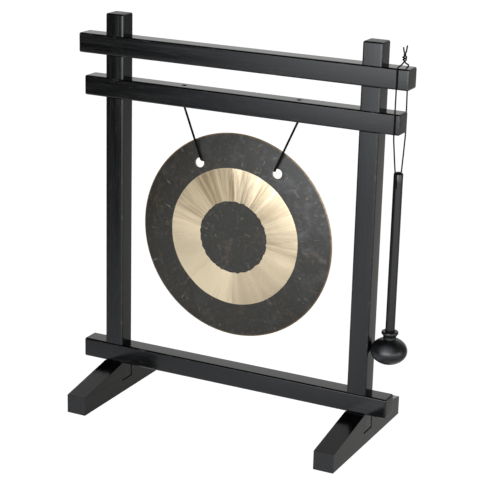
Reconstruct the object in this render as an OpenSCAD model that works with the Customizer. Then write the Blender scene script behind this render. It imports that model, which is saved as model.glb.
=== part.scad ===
// Table-top tam tam: a dished gong hung on a cord in a square timber stand,
// with its mallet hung on a loop of thin cord at the right end of the upper bar.
// Millimetres. +X runs along the bars, -Y is the front, +Z is up.
// The origin is on the floor, at the middle of the whole width and depth.

/* [Timber stand] */
// Side of the square timber
timber = 24; // [20:1:28]
// Chamfer along the timber's edges
edge = 1.2; // [0.5:0.1:2]
// Height of the posts
post_h = 478.5; // [470:0.5:500]
// Distance between the posts' centre lines
post_pitch = 329; // [320:1:340]
// How much thinner the posts are than the bars, front to back
post_recess = 0.6; // [0.2:0.1:1]
// Length of the upper bar
upper_bar_l = 423; // [415:1:430]
// Height of the upper bar's top face
upper_bar_top = 452; // [446:1:460]
// Length of the lower bar, which carries the gong
lower_bar_l = 407; // [402:1:412]
// Height of the lower bar's top face
lower_bar_top = 401; // [396:1:406]
// Length of the bottom bar
bottom_bar_l = 410; // [400:1:420]
// Height of the bottom bar's top face
bottom_bar_top = 64; // [64:1:80]

/* [Feet] */
// Length of a foot, front to back
foot_l = 200; // [180:1:220]
// Width of a foot
foot_w = 25; // [25:0.5:30]
// Height of a foot at its ends
foot_end_h = 24; // [18:1:30]
// Height of the slot floor that a post stands on
foot_slot_z = 16; // [12:1:20]
// Diameter of a foot pad
pad_d = 14; // [10:1:20]
// Thickness of a foot pad
pad_t = 1; // [0.8:0.1:2]

/* [Gong] */
// Diameter of the gong
gong_d = 250; // [240:1:260]
// Depth of the gong's dish
gong_depth = 7.7; // [6:0.1:9]
// Thickness of the gong's metal
gong_wall = 1.3; // [1:0.1:1.6]
// Height of the gong's centre
gong_z = 226; // [224:1:228]
// Diameter of a cord hole in the gong
gong_hole_d = 11.5; // [10:0.5:13]
// Diameter of the gong's cord
gong_cord_d = 2.6; // [2:0.1:2.7]

/* [Mallet] */
// Diameter of the mallet's rubber head
head_d = 42.6; // [38:0.2:43]
// Height of the mallet's rubber head without its neck
head_h = 32; // [28:1:36]
// Diameter of the mallet's handle
handle_d = 11; // [9:0.5:11]
// Diameter of the mallet's cord
mallet_cord_d = 1.7; // [1:0.1:1.7]

/* [Hidden] */
$fn = 64;
eps = 0.01;

// The mallet hangs past the upper bar's end, so the bars stand left of the origin by half of that.
head_gap = 0.4;
posts_off = 2.5;
mallet_off = posts_off + post_pitch / 2 + timber / 2 + head_gap + head_d / 2;
bars_x = -(mallet_off + head_d / 2 - upper_bar_l / 2) / 2;
post_x = [bars_x + posts_off - post_pitch / 2, bars_x + posts_off + post_pitch / 2];
mallet_x = bars_x + mallet_off;
post_d = timber - post_recess;
bar_tops = [upper_bar_top, lower_bar_top, bottom_bar_top];
foot_mid_h = bottom_bar_top - timber;
foot_flat = timber;

// The gong's centre. Its two cord holes, and the bar's two, are drilled a little right of it.
hang_x = bars_x - 2.75;
gong_cord_x = hang_x + 3;
bar_cord_x = hang_x + 4.1;
gong_hole_x = 51;
gong_hole_up = 84.5;
dish_power = 3.5;
dish_steps = 20;
rim_y = 4.5;
bar_hole_x = 74.6;
bar_hole_r = 1.7;
knot_pocket_r = 3.2;
knot_pocket_depth = 5;
knot_r = 2.4;
lower_bar_under = lower_bar_top - timber;
upper_bar_under = upper_bar_top - timber;
cord_break = 0.3;
// The cord from in front of a gong hole, through it and along the gong's back to the middle.
strand_foot = [49.6, -1.5, 317.6];
back_half = [
    [48.7, -1.5, 315.4], [48.3, -0.7, 314.4], [47.6, 0.7, 313.7],
    [46.1, 2.1, 313.3], [43.5, 2.8, 313.2], [36, 3, 313.2], [18, 3, 313.2], [0, 3, 313.2]
];

// The mallet's cord, from the mallet's middle. Its front run hangs left of its back run.
loop_front = [
    [-3, -13, 428.3], [-3, -13, 440], [-3, -13, 451], [-2.9, -12.8, 452.2], [-2.8, -12, 453.2],
    [-2.2, -9, 454.4], [-1.2, -5, 456.2], [-0.4, -1.5, 458]
];
loop_back = [
    [0, 1.5, 457.2], [0, 5, 455], [0, 9, 453.4], [0, 11.6, 453.2], [0, 12.7, 452.4], [0, 13, 451],
    [0, 13, 440], [0, 13, 428.3]
];
cord_knot = [0, -0.5, 458.5];
cord_knot_r = 2.7;
cord_roots = [[-1.2, 0, 459], [1.2, -0.5, 459]];
cord_tips = [[-2.2, 0.5, 474], [2.8, -1, 476.5]];
strand_front = [
    [-3, -13, 427.7], [-3, -13, 412], [-3, -13, 394], [-3, -13, 378], [-2.9, -12.7, 372],
    [-2.6, -12.1, 366], [-1.8, -10.3, 350], [-0.8, -8.5, 334], [-0.2, -7.2, 322.5], [0, -6.7, 318]
];
strand_back = [
    [0, 13, 427.7], [0.2, 13, 412], [0.5, 13, 394], [0.8, 13, 378], [0.8, 12.7, 372],
    [0.7, 12.1, 366], [0.5, 10.3, 350], [0.2, 8.5, 334], [0.1, 7.2, 322.5], [0, 6.7, 318]
];
eye_z = 317;
eye_y = 6.6;
eye_r = 1.2;
handle_top = 334;
handle_foot = 118;
head_mid_z = 121;
neck_r = 9.8;
neck_waist_r = 7.6;
neck_top_z = 145;
socket_gap = 0.05;

// Screws: six hold the laps from behind, two hold the posts from under the feet.
screw_r = 1.75;
screw_head_r = 3.6;
screw_head_h = 2.6;
screw_gap = 0.1;
lap_screw_l = 19;
foot_screw_l = 34;
pocket_r = 4.2;
pocket_h = 3;

// ---- shared shapes ----

// A square with its corners cut off, centred.
module cut_square(w, h, c) {
    polygon([
        [-w / 2 + c, -h / 2], [w / 2 - c, -h / 2], [w / 2, -h / 2 + c], [w / 2, h / 2 - c],
        [w / 2 - c, h / 2], [-w / 2 + c, h / 2], [-w / 2, h / 2 - c], [-w / 2, -h / 2 + c]
    ]);
}

// A centred block with every edge chamfered.
module block(x, y, z, c) {
    intersection() {
        linear_extrude(z, center = true) cut_square(x, y, c);
        rotate([90, 0, 0]) linear_extrude(y, center = true) cut_square(x, z, c);
        rotate([90, 0, 90]) linear_extrude(x, center = true) cut_square(y, z, c);
    }
}

// A round bar from a to b.
module rod(a, b, r) {
    d = b - a;
    len = norm(d);
    translate(a) rotate([0, acos(d[2] / len), atan2(d[1], d[0])]) cylinder(r = r, h = len);
}

// A tube swept along points as one polyhedron.
function unit(v) = v / norm(v);
function heading(p, i) = unit(p[min(i + 1, len(p) - 1)] - p[max(i - 1, 0)]);
function ring(c, t, side, r, n) =
    let (u = unit(cross(side, t)), v = cross(t, u))
    [for (k = [0 : n - 1]) c + r * (cos(360 * k / n) * u + sin(360 * k / n) * v)];

module tube(p, r, side, n = 8) {
    count = len(p);
    points = [for (i = [0 : count - 1]) each ring(p[i], heading(p, i), side, r, n)];
    walls = [for (i = [0 : count - 2], k = [0 : n - 1])
        [i * n + k, i * n + (k + 1) % n, (i + 1) * n + (k + 1) % n, (i + 1) * n + k]];
    start = [[for (k = [n - 1 : -1 : 0]) k]];
    end = [[for (k = [0 : n - 1]) (count - 1) * n + k]];
    polyhedron(points, [for (f = concat(walls, start, end)) [for (k = [len(f) - 1 : -1 : 0]) f[k]]]);
}

function mirrored(p) = [for (q = p) [-q[0], q[1], q[2]]];
function reversed(p) = [for (i = [len(p) - 1 : -1 : 0]) p[i]];
function without_last(p) = [for (i = [0 : len(p) - 2]) p[i]];
function at_mallet(p) = [for (q = p) [mallet_x + q[0], q[1], q[2]]];

// A countersunk screw along +Z, its head's flat at z = 0 and its shank below.
module screw(length, grow = 0) {
    translate([0, 0, -length - grow]) cylinder(r = screw_r + grow, h = length + grow);
    translate([0, 0, -screw_head_h - grow])
        cylinder(r1 = screw_r + grow, r2 = screw_head_r + grow, h = screw_head_h + grow);
    if (grow > 0) translate([0, 0, -eps]) cylinder(r = screw_head_r + grow, h = eps * 2);
}

// One lap screw at every crossing of a post and a bar, driven from behind.
module at_laps() {
    for (x = post_x, top = bar_tops)
        translate([x, post_d / 2, top - timber / 2]) rotate([-90, 0, 0]) children();
}

// One screw under each foot, its head at the roof of a pocket.
module at_feet() {
    for (x = post_x) translate([x, 0, pad_t + pocket_h]) rotate([180, 0, 0]) children();
}

// ---- timber stand ----

module post(x) {
    color([0.1, 0.1, 0.11]) difference() {
        translate([x, 0, (post_h + foot_slot_z) / 2]) block(timber, post_d, post_h - foot_slot_z, edge);
        for (top = bar_tops)
            translate([x - timber, -timber, top - timber]) cube([timber * 2, timber, timber]);
        at_laps() screw(lap_screw_l, screw_gap);
        at_feet() screw(foot_screw_l, screw_gap);
    }
}

module bar(length, top) {
    color([0.12, 0.12, 0.13]) difference() {
        translate([bars_x, 0, top - timber / 2]) block(length, timber, timber, edge);
        for (x = post_x)
            translate([x - timber / 2, 0, top - timber * 1.5]) cube([timber, timber, timber * 2]);
        at_laps() screw(lap_screw_l, screw_gap);
    }
}

module lower_bar() {
    difference() {
        bar(lower_bar_l, lower_bar_top);
        for (side = [-1, 1]) translate([bar_cord_x + side * bar_hole_x, 0, lower_bar_under]) {
            translate([0, 0, -1]) cylinder(r = bar_hole_r, h = timber + 2);
            translate([0, 0, timber - knot_pocket_depth]) cylinder(r = knot_pocket_r, h = knot_pocket_depth + 1);
        }
    }
}

// A foot tapers from the post to both ends, and has a slot right across it for the post.
module foot(x) {
    color([0.11, 0.11, 0.12]) difference() {
        translate([x, 0, 0]) rotate([90, 0, 90]) linear_extrude(foot_w, center = true) polygon([
            [-foot_l / 2, pad_t], [foot_l / 2, pad_t], [foot_l / 2, foot_end_h],
            [foot_flat / 2, foot_mid_h], [-foot_flat / 2, foot_mid_h], [-foot_l / 2, foot_end_h]
        ]);
        translate([x - foot_w, -post_d / 2, foot_slot_z]) cube([foot_w * 2, post_d, foot_mid_h]);
        at_feet() screw(foot_screw_l, screw_gap);
        translate([x, 0, pad_t - 1]) cylinder(r = pocket_r, h = pocket_h + 1);
    }
}

module foot_pads() {
    color([0.16, 0.16, 0.16]) for (x = post_x, side = [-1, 1])
        translate([x, side * (foot_l / 2 - pad_d), 0]) cylinder(d = pad_d, h = pad_t);
}

module lap_screws() {
    color([0.2, 0.2, 0.21]) at_laps() screw(lap_screw_l);
}

module foot_screws() {
    color([0.2, 0.2, 0.21]) at_feet() screw(foot_screw_l);
}

// ---- gong and its cord ----

function dish(r) = gong_depth * (1 - pow(r / (gong_d / 2), dish_power));

// The dish bulges towards the front; its rim lies in one upright plane.
module gong() {
    radii = [for (i = [0 : dish_steps]) gong_d / 2 * sqrt(i / dish_steps)];
    front = [for (r = radii) [r, dish(r)]];
    back = [for (i = [dish_steps : -1 : 0]) [radii[i], dish(radii[i]) - gong_wall]];
    color([0.42, 0.37, 0.28]) translate([hang_x, rim_y, gong_z]) rotate([90, 0, 0]) difference() {
        rotate_extrude($fn = 180) polygon(concat(front, back));
        for (side = [-1, 1]) translate([gong_cord_x - hang_x + side * gong_hole_x, gong_hole_up, -gong_depth])
            cylinder(d = gong_hole_d, h = gong_depth * 3);
    }
}

// Each knot sits in its pocket in the lower bar, with the cord going down the hole below it.
module gong_cord_knots() {
    floor_z = lower_bar_top - knot_pocket_depth;
    color([0.07, 0.07, 0.08]) for (side = [-1, 1]) translate([bar_cord_x + side * bar_hole_x, 0, 0]) {
        translate([0, 0, floor_z + knot_r]) sphere(r = knot_r);
        translate([0, 0, lower_bar_under + 1]) cylinder(d = gong_cord_d, h = timber - knot_pocket_depth);
    }
}

module gong_cord_strands() {
    color([0.07, 0.07, 0.08]) for (side = [-1, 1]) rod(
        [bar_cord_x + side * bar_hole_x, 0, lower_bar_under - cord_break],
        [gong_cord_x + side * strand_foot[0], strand_foot[1], strand_foot[2]],
        gong_cord_d / 2
    );
}

module gong_cord_back() {
    half = reversed(without_last(back_half));
    color([0.07, 0.07, 0.08]) translate([gong_cord_x, 0, 0])
        tube(concat(mirrored(back_half), half), gong_cord_d / 2, [0, 0, 1]);
}

// ---- mallet and its cord ----

module mallet_cord_loop() {
    color([0.06, 0.05, 0.05])
        tube(at_mallet(concat(loop_front, loop_back)), mallet_cord_d / 2, [1, 0, 0]);
}

module mallet_cord_knot() {
    middle = [mallet_x, 0, 0] + cord_knot;
    color([0.06, 0.05, 0.05]) {
        translate(middle) sphere(r = cord_knot_r);
        for (i = [0, 1])
            rod([mallet_x, 0, 0] + cord_roots[i], [mallet_x, 0, 0] + cord_tips[i], mallet_cord_d / 2);
    }
}

// Both strands pass the lower bar, one in front and one behind, then close in on the handle.
module mallet_cord_strands() {
    color([0.06, 0.05, 0.05]) for (strand = [strand_front, strand_back])
        tube(at_mallet(strand), mallet_cord_d / 2, [1, 0, 0]);
}

module mallet_cord_eye() {
    color([0.06, 0.05, 0.05]) rod([mallet_x, -eye_y, eye_z], [mallet_x, eye_y, eye_z], mallet_cord_d / 2);
}

module mallet_handle() {
    dome = 3;
    r = handle_d / 2;
    color([0.08, 0.08, 0.08]) translate([mallet_x, 0, 0]) difference() {
        rotate_extrude() polygon(concat(
            [[0, handle_foot], [r, handle_foot]],
            [for (a = [0 : 15 : 90]) [r * cos(a), handle_top - dome + dome * sin(a)]]
        ));
        translate([0, handle_d, eye_z]) rotate([90, 0, 0]) cylinder(r = eye_r, h = handle_d * 2);
    }
}

// One piece of rubber: a flattened ball with a flared neck that holds the handle.
module mallet_head() {
    r = head_d / 2;
    half = head_h / 2;
    // The ball's outline stops where it meets the neck's waist.
    last = acos(neck_waist_r / r);
    steps = 18;
    color([0.05, 0.05, 0.05]) translate([mallet_x, 0, 0]) difference() {
        rotate_extrude($fn = 96) polygon(concat(
            [[0, head_mid_z - half]],
            [for (i = [1 : steps]) let (a = -90 + (last + 90) * i / steps)
                [r * cos(a), head_mid_z + half * sin(a)]],
            [[neck_waist_r, neck_top_z - 6], [neck_r, neck_top_z - 3], [neck_r, neck_top_z - 1],
             [neck_r - 1, neck_top_z], [0, neck_top_z]]
        ));
        translate([0, 0, handle_foot - socket_gap])
            cylinder(r = handle_d / 2 + socket_gap, h = neck_top_z);
    }
}

post(post_x[0]);  // post_left
post(post_x[1]);  // post_right
bar(upper_bar_l, upper_bar_top);  // upper_bar
lower_bar();
bar(bottom_bar_l, bottom_bar_top);  // bottom_bar
foot(post_x[0]);  // foot_left
foot(post_x[1]);  // foot_right
foot_pads();
lap_screws();
foot_screws();
gong();
gong_cord_knots();
gong_cord_strands();
gong_cord_back();
mallet_cord_loop();
mallet_cord_knot();
mallet_cord_strands();
mallet_cord_eye();
mallet_handle();
mallet_head();
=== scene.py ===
"""The looks of a table-top tam tam: gong, cord, timber stand and mallet.

Every length is in metres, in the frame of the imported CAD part: +X runs along
the bars towards the mallet, -Y is the front and +Z is up. Each sub-assembly is
one class that builds its meshes in place and dresses them with its own finish.
"""

from __future__ import annotations

import logging
import math
from collections.abc import Callable, Iterable, Mapping, Sequence
from dataclasses import dataclass, field
from enum import Enum

import bmesh
import bpy
from mathutils import Matrix, Vector


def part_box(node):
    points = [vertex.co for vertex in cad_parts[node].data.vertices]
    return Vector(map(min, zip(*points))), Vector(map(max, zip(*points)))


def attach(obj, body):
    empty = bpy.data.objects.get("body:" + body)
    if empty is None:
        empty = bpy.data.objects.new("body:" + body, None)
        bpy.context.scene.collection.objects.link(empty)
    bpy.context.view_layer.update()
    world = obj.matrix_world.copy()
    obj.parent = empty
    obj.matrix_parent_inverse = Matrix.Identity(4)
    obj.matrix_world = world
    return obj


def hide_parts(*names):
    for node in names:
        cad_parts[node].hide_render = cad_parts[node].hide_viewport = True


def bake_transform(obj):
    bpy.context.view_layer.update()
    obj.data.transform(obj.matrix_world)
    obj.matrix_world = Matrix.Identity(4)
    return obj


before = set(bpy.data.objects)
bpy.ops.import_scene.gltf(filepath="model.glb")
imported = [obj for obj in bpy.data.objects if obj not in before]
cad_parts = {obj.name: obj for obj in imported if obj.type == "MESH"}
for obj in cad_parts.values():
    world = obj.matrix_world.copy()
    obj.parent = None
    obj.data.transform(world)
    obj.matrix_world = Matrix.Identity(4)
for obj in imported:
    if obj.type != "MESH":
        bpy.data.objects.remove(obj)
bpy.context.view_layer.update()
LOG = logging.getLogger("tam_tam")
MM = 0.001
# How far right of the gong's middle its own cord holes lie, and the bar's.
GONG_CORD_OFF = 3.0 * MM
BAR_CORD_OFF = 4.1 * MM
TURN = 2 * math.pi
# Points closer than this are one point.
WELD = 0.001 * MM
# How squarely a face looks along the grain for it to be end grain.
SQUARE_ON = 0.9

Colour = tuple[float, float, float]
Point = tuple[float, float, float]
Corner = tuple[Vector, Vector]
# A stretch of a round, in turns from the top: its middle, its half and its soft edge.
Sector = tuple[float, float, float]
Span = tuple[float, float]


# ---- shader arithmetic ----


class Sock:
    """A number socket that takes part in Python expressions."""

    def __init__(self, net: Net, socket: bpy.types.NodeSocket) -> None:
        """Keep the socket and the net that it belongs to."""
        self.net = net
        self.socket = socket

    def __add__(self, other: Term) -> Sock:
        """Return self + other."""
        return self.net.math("ADD", self, other)

    def __sub__(self, other: Term) -> Sock:
        """Return self - other."""
        return self.net.math("SUBTRACT", self, other)

    def __rsub__(self, other: Term) -> Sock:
        """Return other - self."""
        return self.net.math("SUBTRACT", other, self)

    def __mul__(self, other: Term) -> Sock:
        """Return self * other."""
        return self.net.math("MULTIPLY", self, other)

    def __truediv__(self, other: Term) -> Sock:
        """Return self / other."""
        return self.net.math("DIVIDE", self, other)

    def __rtruediv__(self, other: Term) -> Sock:
        """Return other / self."""
        return self.net.math("DIVIDE", other, self)

    def __pow__(self, other: Term) -> Sock:
        """Return self to the power of other."""
        return self.net.math("POWER", self, other)

    def __neg__(self) -> Sock:
        """Return -self."""
        return self.net.math("MULTIPLY", self, -1.0)

    __radd__ = __add__
    __rmul__ = __mul__


Term = Sock | float


@dataclass(frozen=True)
class Layer:
    """One layer of noise, drawn out more one way than another."""

    cells: Point
    detail: float = 2.0
    rough: float = 0.5
    distortion: float = 0.0


class Net:
    """Builds one node tree by expressions."""

    # A spot is solid over this share of its radius, and its cell is picked this softly.
    SPOT_CORE = 0.55
    SPOT_PICK = 0.02

    def __init__(self, tree: bpy.types.NodeTree) -> None:
        """Start from an empty tree."""
        self.tree = tree
        tree.nodes.clear()

    def node(
        self,
        kind: str,
        settings: Mapping[str, object] | None = None,
        sockets: Mapping[str | int, object] | None = None,
    ) -> bpy.types.Node:
        """Add a node.

        Args:
            kind: the node's type.
            settings: attributes to set first; stops is a list of (place, colour).
            sockets: values or links for its inputs, by name or number.

        Returns:
            The new node.
        """
        made = self.tree.nodes.new(kind)
        for name, value in (settings or {}).items():
            if name == "stops":
                self._set_stops(made.color_ramp, value)
            else:
                setattr(made, name, value)
        for key, value in (sockets or {}).items():
            self.feed(made.inputs[key], value)
        return made

    @staticmethod
    def _set_stops(ramp: bpy.types.ColorRamp, stops: Sequence[tuple[float, Colour]]) -> None:
        """Give a ramp exactly these stops.

        Args:
            ramp: the node's ramp.
            stops: pairs of place and colour.
        """
        while len(ramp.elements) > 1:
            ramp.elements.remove(ramp.elements[-1])
        for index, (place, colour) in enumerate(stops):
            element = ramp.elements[0] if index == 0 else ramp.elements.new(place)
            element.position = place
            element.color = (*colour, 1.0)

    def feed(self, target: bpy.types.NodeSocket, value: object) -> None:
        """Link a socket, or set its plain value.

        Args:
            target: the input.
            value: an output to link, or a number, colour or vector.
        """
        if isinstance(value, Sock):
            value = value.socket
        if isinstance(value, bpy.types.NodeSocket):
            self.tree.links.new(value, target)
        elif isinstance(value, tuple) and target.type == "RGBA" and len(value) == 3:
            target.default_value = (*value, 1.0)
        else:
            target.default_value = value

    def math(self, operation: str, *terms: Term) -> Sock:
        """Return one Math node's result."""
        made = self.node("ShaderNodeMath", {"operation": operation}, dict(enumerate(terms)))
        return Sock(self, made.outputs[0])

    def smooth(self, value: Term, low: float, high: float) -> Sock:
        """Return a smooth rise between two values.

        Args:
            value: what is compared.
            low: where the rise begins.
            high: where it ends.

        Returns:
            0 below low, 1 above high, and a smooth rise between them.
        """
        made = self.node(
            "ShaderNodeMapRange",
            {"interpolation_type": "SMOOTHSTEP"},
            {"Value": value, "From Min": low, "From Max": high},
        )
        return Sock(self, made.outputs[0])

    def window(self, value: Term, low: float, high: float, soft: float) -> Sock:
        """Return 1 between low and high, fading out over soft outside both."""
        return self.smooth(value, low - soft, low) * (1.0 - self.smooth(value, high, high + soft))

    def arc(self, clock: Sock, centre: float, half: float, soft: float) -> Sock:
        """Return 1 within half of a place on a closed round, fading out over soft."""
        away = self.math("ABSOLUTE", self.math("WRAP", clock - centre, 0.5, -0.5))
        return 1.0 - self.smooth(away, half, half + soft)

    def vector(self, x: Term, y: Term, z: Term) -> bpy.types.NodeSocket:
        """Return a vector of three terms."""
        return self.node("ShaderNodeCombineXYZ", None, {0: x, 1: y, 2: z}).outputs[0]

    def split(self, vector: bpy.types.NodeSocket) -> tuple[Sock, Sock, Sock]:
        """Return a vector's three numbers."""
        made = self.node("ShaderNodeSeparateXYZ", None, {0: vector})
        return tuple(Sock(self, made.outputs[i]) for i in range(3))

    def noise(
        self,
        vector: bpy.types.NodeSocket,
        scale: float,
        detail: float = 2.0,
        rough: float = 0.5,
        distortion: float = 0.0,
    ) -> Sock:
        """Return soft noise.

        Args:
            vector: where it is read.
            scale: its cells to the unit.
            detail: how many finer layers it has.
            rough: how strong those are.
            distortion: how far it is bent.

        Returns:
            Noise about 0.5.
        """
        sockets = {
            "Vector": vector,
            "Scale": scale,
            "Detail": detail,
            "Roughness": rough,
            "Distortion": distortion,
        }
        return Sock(self, self.node("ShaderNodeTexNoise", None, sockets).outputs[0])

    def layer(self, layer: Layer, x: Term, y: Term, z: Term) -> Sock:
        """Return a layer of noise at a place.

        Args:
            layer: its cells to the unit each way, and its character.
            x: the place's first number.
            y: its second.
            z: its third.

        Returns:
            Soft noise about 0.5.
        """
        across, along, up = layer.cells
        place = self.vector(x * across, y * along, z * up)
        return self.noise(place, 1.0, layer.detail, layer.rough, layer.distortion)

    def spots(
        self, vector: bpy.types.NodeSocket, scale: float, radius: float, chance: float
    ) -> Sock:
        """Return round spots at scattered places.

        Args:
            vector: where the pattern is read.
            scale: cells to the metre.
            radius: a spot's radius in cells.
            chance: the share of cells that hold a spot.

        Returns:
            1 inside a spot and 0 outside.
        """
        cells = self.node("ShaderNodeTexVoronoi", None, {"Vector": vector, "Scale": scale})
        distance = Sock(self, cells.outputs["Distance"])
        tint = self.node("ShaderNodeSeparateColor", None, {0: cells.outputs["Color"]})
        picked = Sock(self, tint.outputs[0])
        chosen = self.smooth(picked, 1.0 - chance, 1.0 + self.SPOT_PICK - chance)
        return chosen * (1.0 - self.smooth(distance, radius * self.SPOT_CORE, radius))

    def mix(self, factor: Term, first: object, second: object) -> bpy.types.NodeSocket:
        """Return a colour between two colours."""
        made = self.node("ShaderNodeMix", {"data_type": "RGBA"}, {0: factor, 6: first, 7: second})
        return made.outputs[2]

    def ramp(self, value: Term, stops: Sequence[tuple[float, Colour]]) -> bpy.types.NodeSocket:
        """Return a ramp's colour at a value."""
        return self.node("ShaderNodeValToRGB", {"stops": stops}, {0: value}).outputs[0]

    def attribute(self, name: str) -> Sock:
        """Return one of the piece's own number attributes."""
        made = self.node("ShaderNodeAttribute", {"attribute_name": name})
        return Sock(self, made.outputs["Fac"])

    def bump(self, *layers: tuple[Term, float, float]) -> bpy.types.NodeSocket:
        """Return a normal raised by layers of relief.

        Args:
            layers: each a height, a strength and a distance in metres.

        Returns:
            The normal.
        """
        normal: object = None
        for height, strength, distance in layers:
            sockets = {"Height": height, "Strength": strength, "Distance": distance}
            if normal is not None:
                sockets["Normal"] = normal
            normal = self.node("ShaderNodeBump", None, sockets).outputs[0]
        return normal


@dataclass(frozen=True)
class Finish:
    """What every finish shares: how a material is made and its shader's constants."""

    name: str

    def constants(self) -> dict[str, object]:
        """Return the shader's values that are the same all over."""
        return {}

    def paint(self, net: Net, place: bpy.types.NodeSocket) -> dict[str, object]:
        """Return the shader's inputs that vary over the surface."""
        raise NotImplementedError

    def material(self) -> bpy.types.Material:
        """Return the finished material, made once.

        Returns:
            The material, found by its name or made.
        """
        found = bpy.data.materials.get(self.name)
        if found is not None:
            return found
        made = bpy.data.materials.new(self.name)
        made.use_nodes = True
        net = Net(made.node_tree)
        place = net.node("ShaderNodeTexCoord").outputs["Object"]
        inputs = {**self.constants(), **self.paint(net, place)}
        shader = net.node("ShaderNodeBsdfPrincipled", None, inputs)
        net.node("ShaderNodeOutputMaterial", None, {"Surface": shader.outputs[0]})
        return made


class Grain(Enum):
    """Which way the grain of a length of timber runs, as the order of its axes."""

    ALONG_X = (0, 1, 2)
    ALONG_Y = (1, 0, 2)
    ALONG_Z = (2, 0, 1)

    @property
    def along(self) -> int:
        """Return the number of the axis that the grain follows."""
        return self.value[0]


@dataclass(frozen=True)
class StainedTimber(Finish):
    """Satin black stain on planed timber, with its grain, end grain and worn arrises."""

    grain: Grain = Grain.ALONG_X
    plank: float = 0.0
    stain: Colour = (0.0016, 0.0017, 0.0019)
    pale: Colour = (0.0052, 0.0051, 0.0050)
    worn: Colour = (0.045, 0.042, 0.040)
    gloss: float = 0.15
    # Cells to the metre along the grain, across it and up.
    bands: Layer = Layer((2.5, 95.0, 95.0), 3.0, 0.6, 0.35)
    lines: Layer = Layer((9.0, 420.0, 420.0), 3.0, 0.65)
    pores: Layer = Layer((55.0, 1300.0, 1300.0), 1.0)
    strokes: Layer = Layer((70.0, 540.0, 540.0), 2.0, 0.6)
    drift: Layer = Layer((14.0, 30.0, 30.0))
    saw_cells: float = 900.0
    rub_cells: float = 75.0
    # Where each pattern starts to show and where it shows fully.
    figure_from: Span = (0.38, 0.68)
    stroke_from: Span = (0.57, 0.70)
    rub_from: Span = (0.52, 0.70)
    # Specks: cells to the metre, radius in cells and the share of cells with one.
    specks: Point = (120.0, 0.07, 0.05)
    # The year rings: where their heart lies beside the stick, and how close they are.
    heart: Span = (0.03, -0.02)
    heart_drift: float = 0.01
    ring_rate: float = 1350.0
    ring_wobble: float = 4.0
    # How much of the worn colour each kind of wear shows.
    rub_share: float = 0.55
    speck_share: float = 0.35
    stroke_share: float = 0.16
    ring_share: float = 0.16
    # Each relief's strength and depth.
    bands_relief: Span = (0.14, 0.20 * MM)
    lines_relief: Span = (0.12, 0.12 * MM)
    pores_relief: Span = (0.08, 0.04 * MM)
    stroke_relief: Span = (0.12, 0.08 * MM)

    def constants(self) -> dict[str, object]:
        """Return the lacquer's constants."""
        return {"IOR": 1.5, "Specular IOR Level": 0.5}

    def paint(self, net: Net, place: bpy.types.NodeSocket) -> dict[str, object]:
        """Return grain, end grain, wear, sheen and pores.

        Args:
            net: the material's nodes.
            place: the point that is painted.

        Returns:
            The shader's colour, roughness and normal.
        """
        axes = net.split(place)
        along, across, up = (axes[i] for i in self.grain.value)
        along = along + self.plank
        end = net.attribute("end_grain")
        bands = net.layer(self.bands, along, across, up)
        lines = net.layer(self.lines, along, across, up)
        pores = net.layer(self.pores, along, across, up)
        drift = net.layer(self.drift, along, across, up)
        strokes = net.layer(self.strokes, along, across, up)
        dashes = net.smooth(strokes, *self.stroke_from) * (1.0 - end)
        rings = self.year_rings(net, along, across, up)
        figure = net.smooth(bands * 0.55 + lines * 0.45, *self.figure_from)
        side = figure * 0.75 + drift * 0.25
        cut = rings * 0.6 + net.noise(place, self.saw_cells, 2.0) * 0.5
        tone = side + (cut - side) * end
        rubbed = net.smooth(net.noise(place, self.rub_cells, 3.0, 0.6), *self.rub_from)
        rub = net.attribute("arris") * rubbed
        speck = net.spots(place, *self.specks)
        wear = rub * self.rub_share + speck * self.speck_share
        wear = wear + dashes * self.stroke_share + rings * end * self.ring_share
        colour = net.mix(tone * (1.0 - end * 0.3), self.stain, self.pale)
        return {
            "Base Color": net.mix(wear, colour, self.worn),
            "Roughness": self.gloss + figure * 0.10 - drift * 0.05 + end * 0.20 + rub * 0.08,
            "Normal": net.bump(
                (bands, *self.bands_relief),
                (lines * (1.0 - end) + cut * end, *self.lines_relief),
                (pores, *self.pores_relief),
                (dashes, *self.stroke_relief),
            ),
        }

    def year_rings(self, net: Net, along: Sock, across: Sock, up: Sock) -> Sock:
        """Return the year rings that show where a stick is sawn across.

        Args:
            net: the material's nodes.
            along: the place along the grain.
            across: the place across it.
            up: the place up it.

        Returns:
            A wave between 0 and 1 that closes round the heart.
        """
        beside, below = self.heart
        flat = net.vector(along * 0.2, across - 0.019, up * 0.8 + 0.013)
        lifted = up - below + self.plank * self.heart_drift
        radius = net.math("SQRT", (across - beside) ** 2.0 + lifted**2.0)
        wobble = net.noise(flat, 120.0, 2.0) * self.ring_wobble
        return net.math("SINE", radius * self.ring_rate + wobble) * 0.5 + 0.5


@dataclass(frozen=True)
class Spot:
    """A point of the gong as its finish reads it, in radii from the middle."""

    x: Sock
    z: Sock
    r: Sock
    clock: Sock
    ux: Sock
    uz: Sock
    flat: bpy.types.NodeSocket


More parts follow.
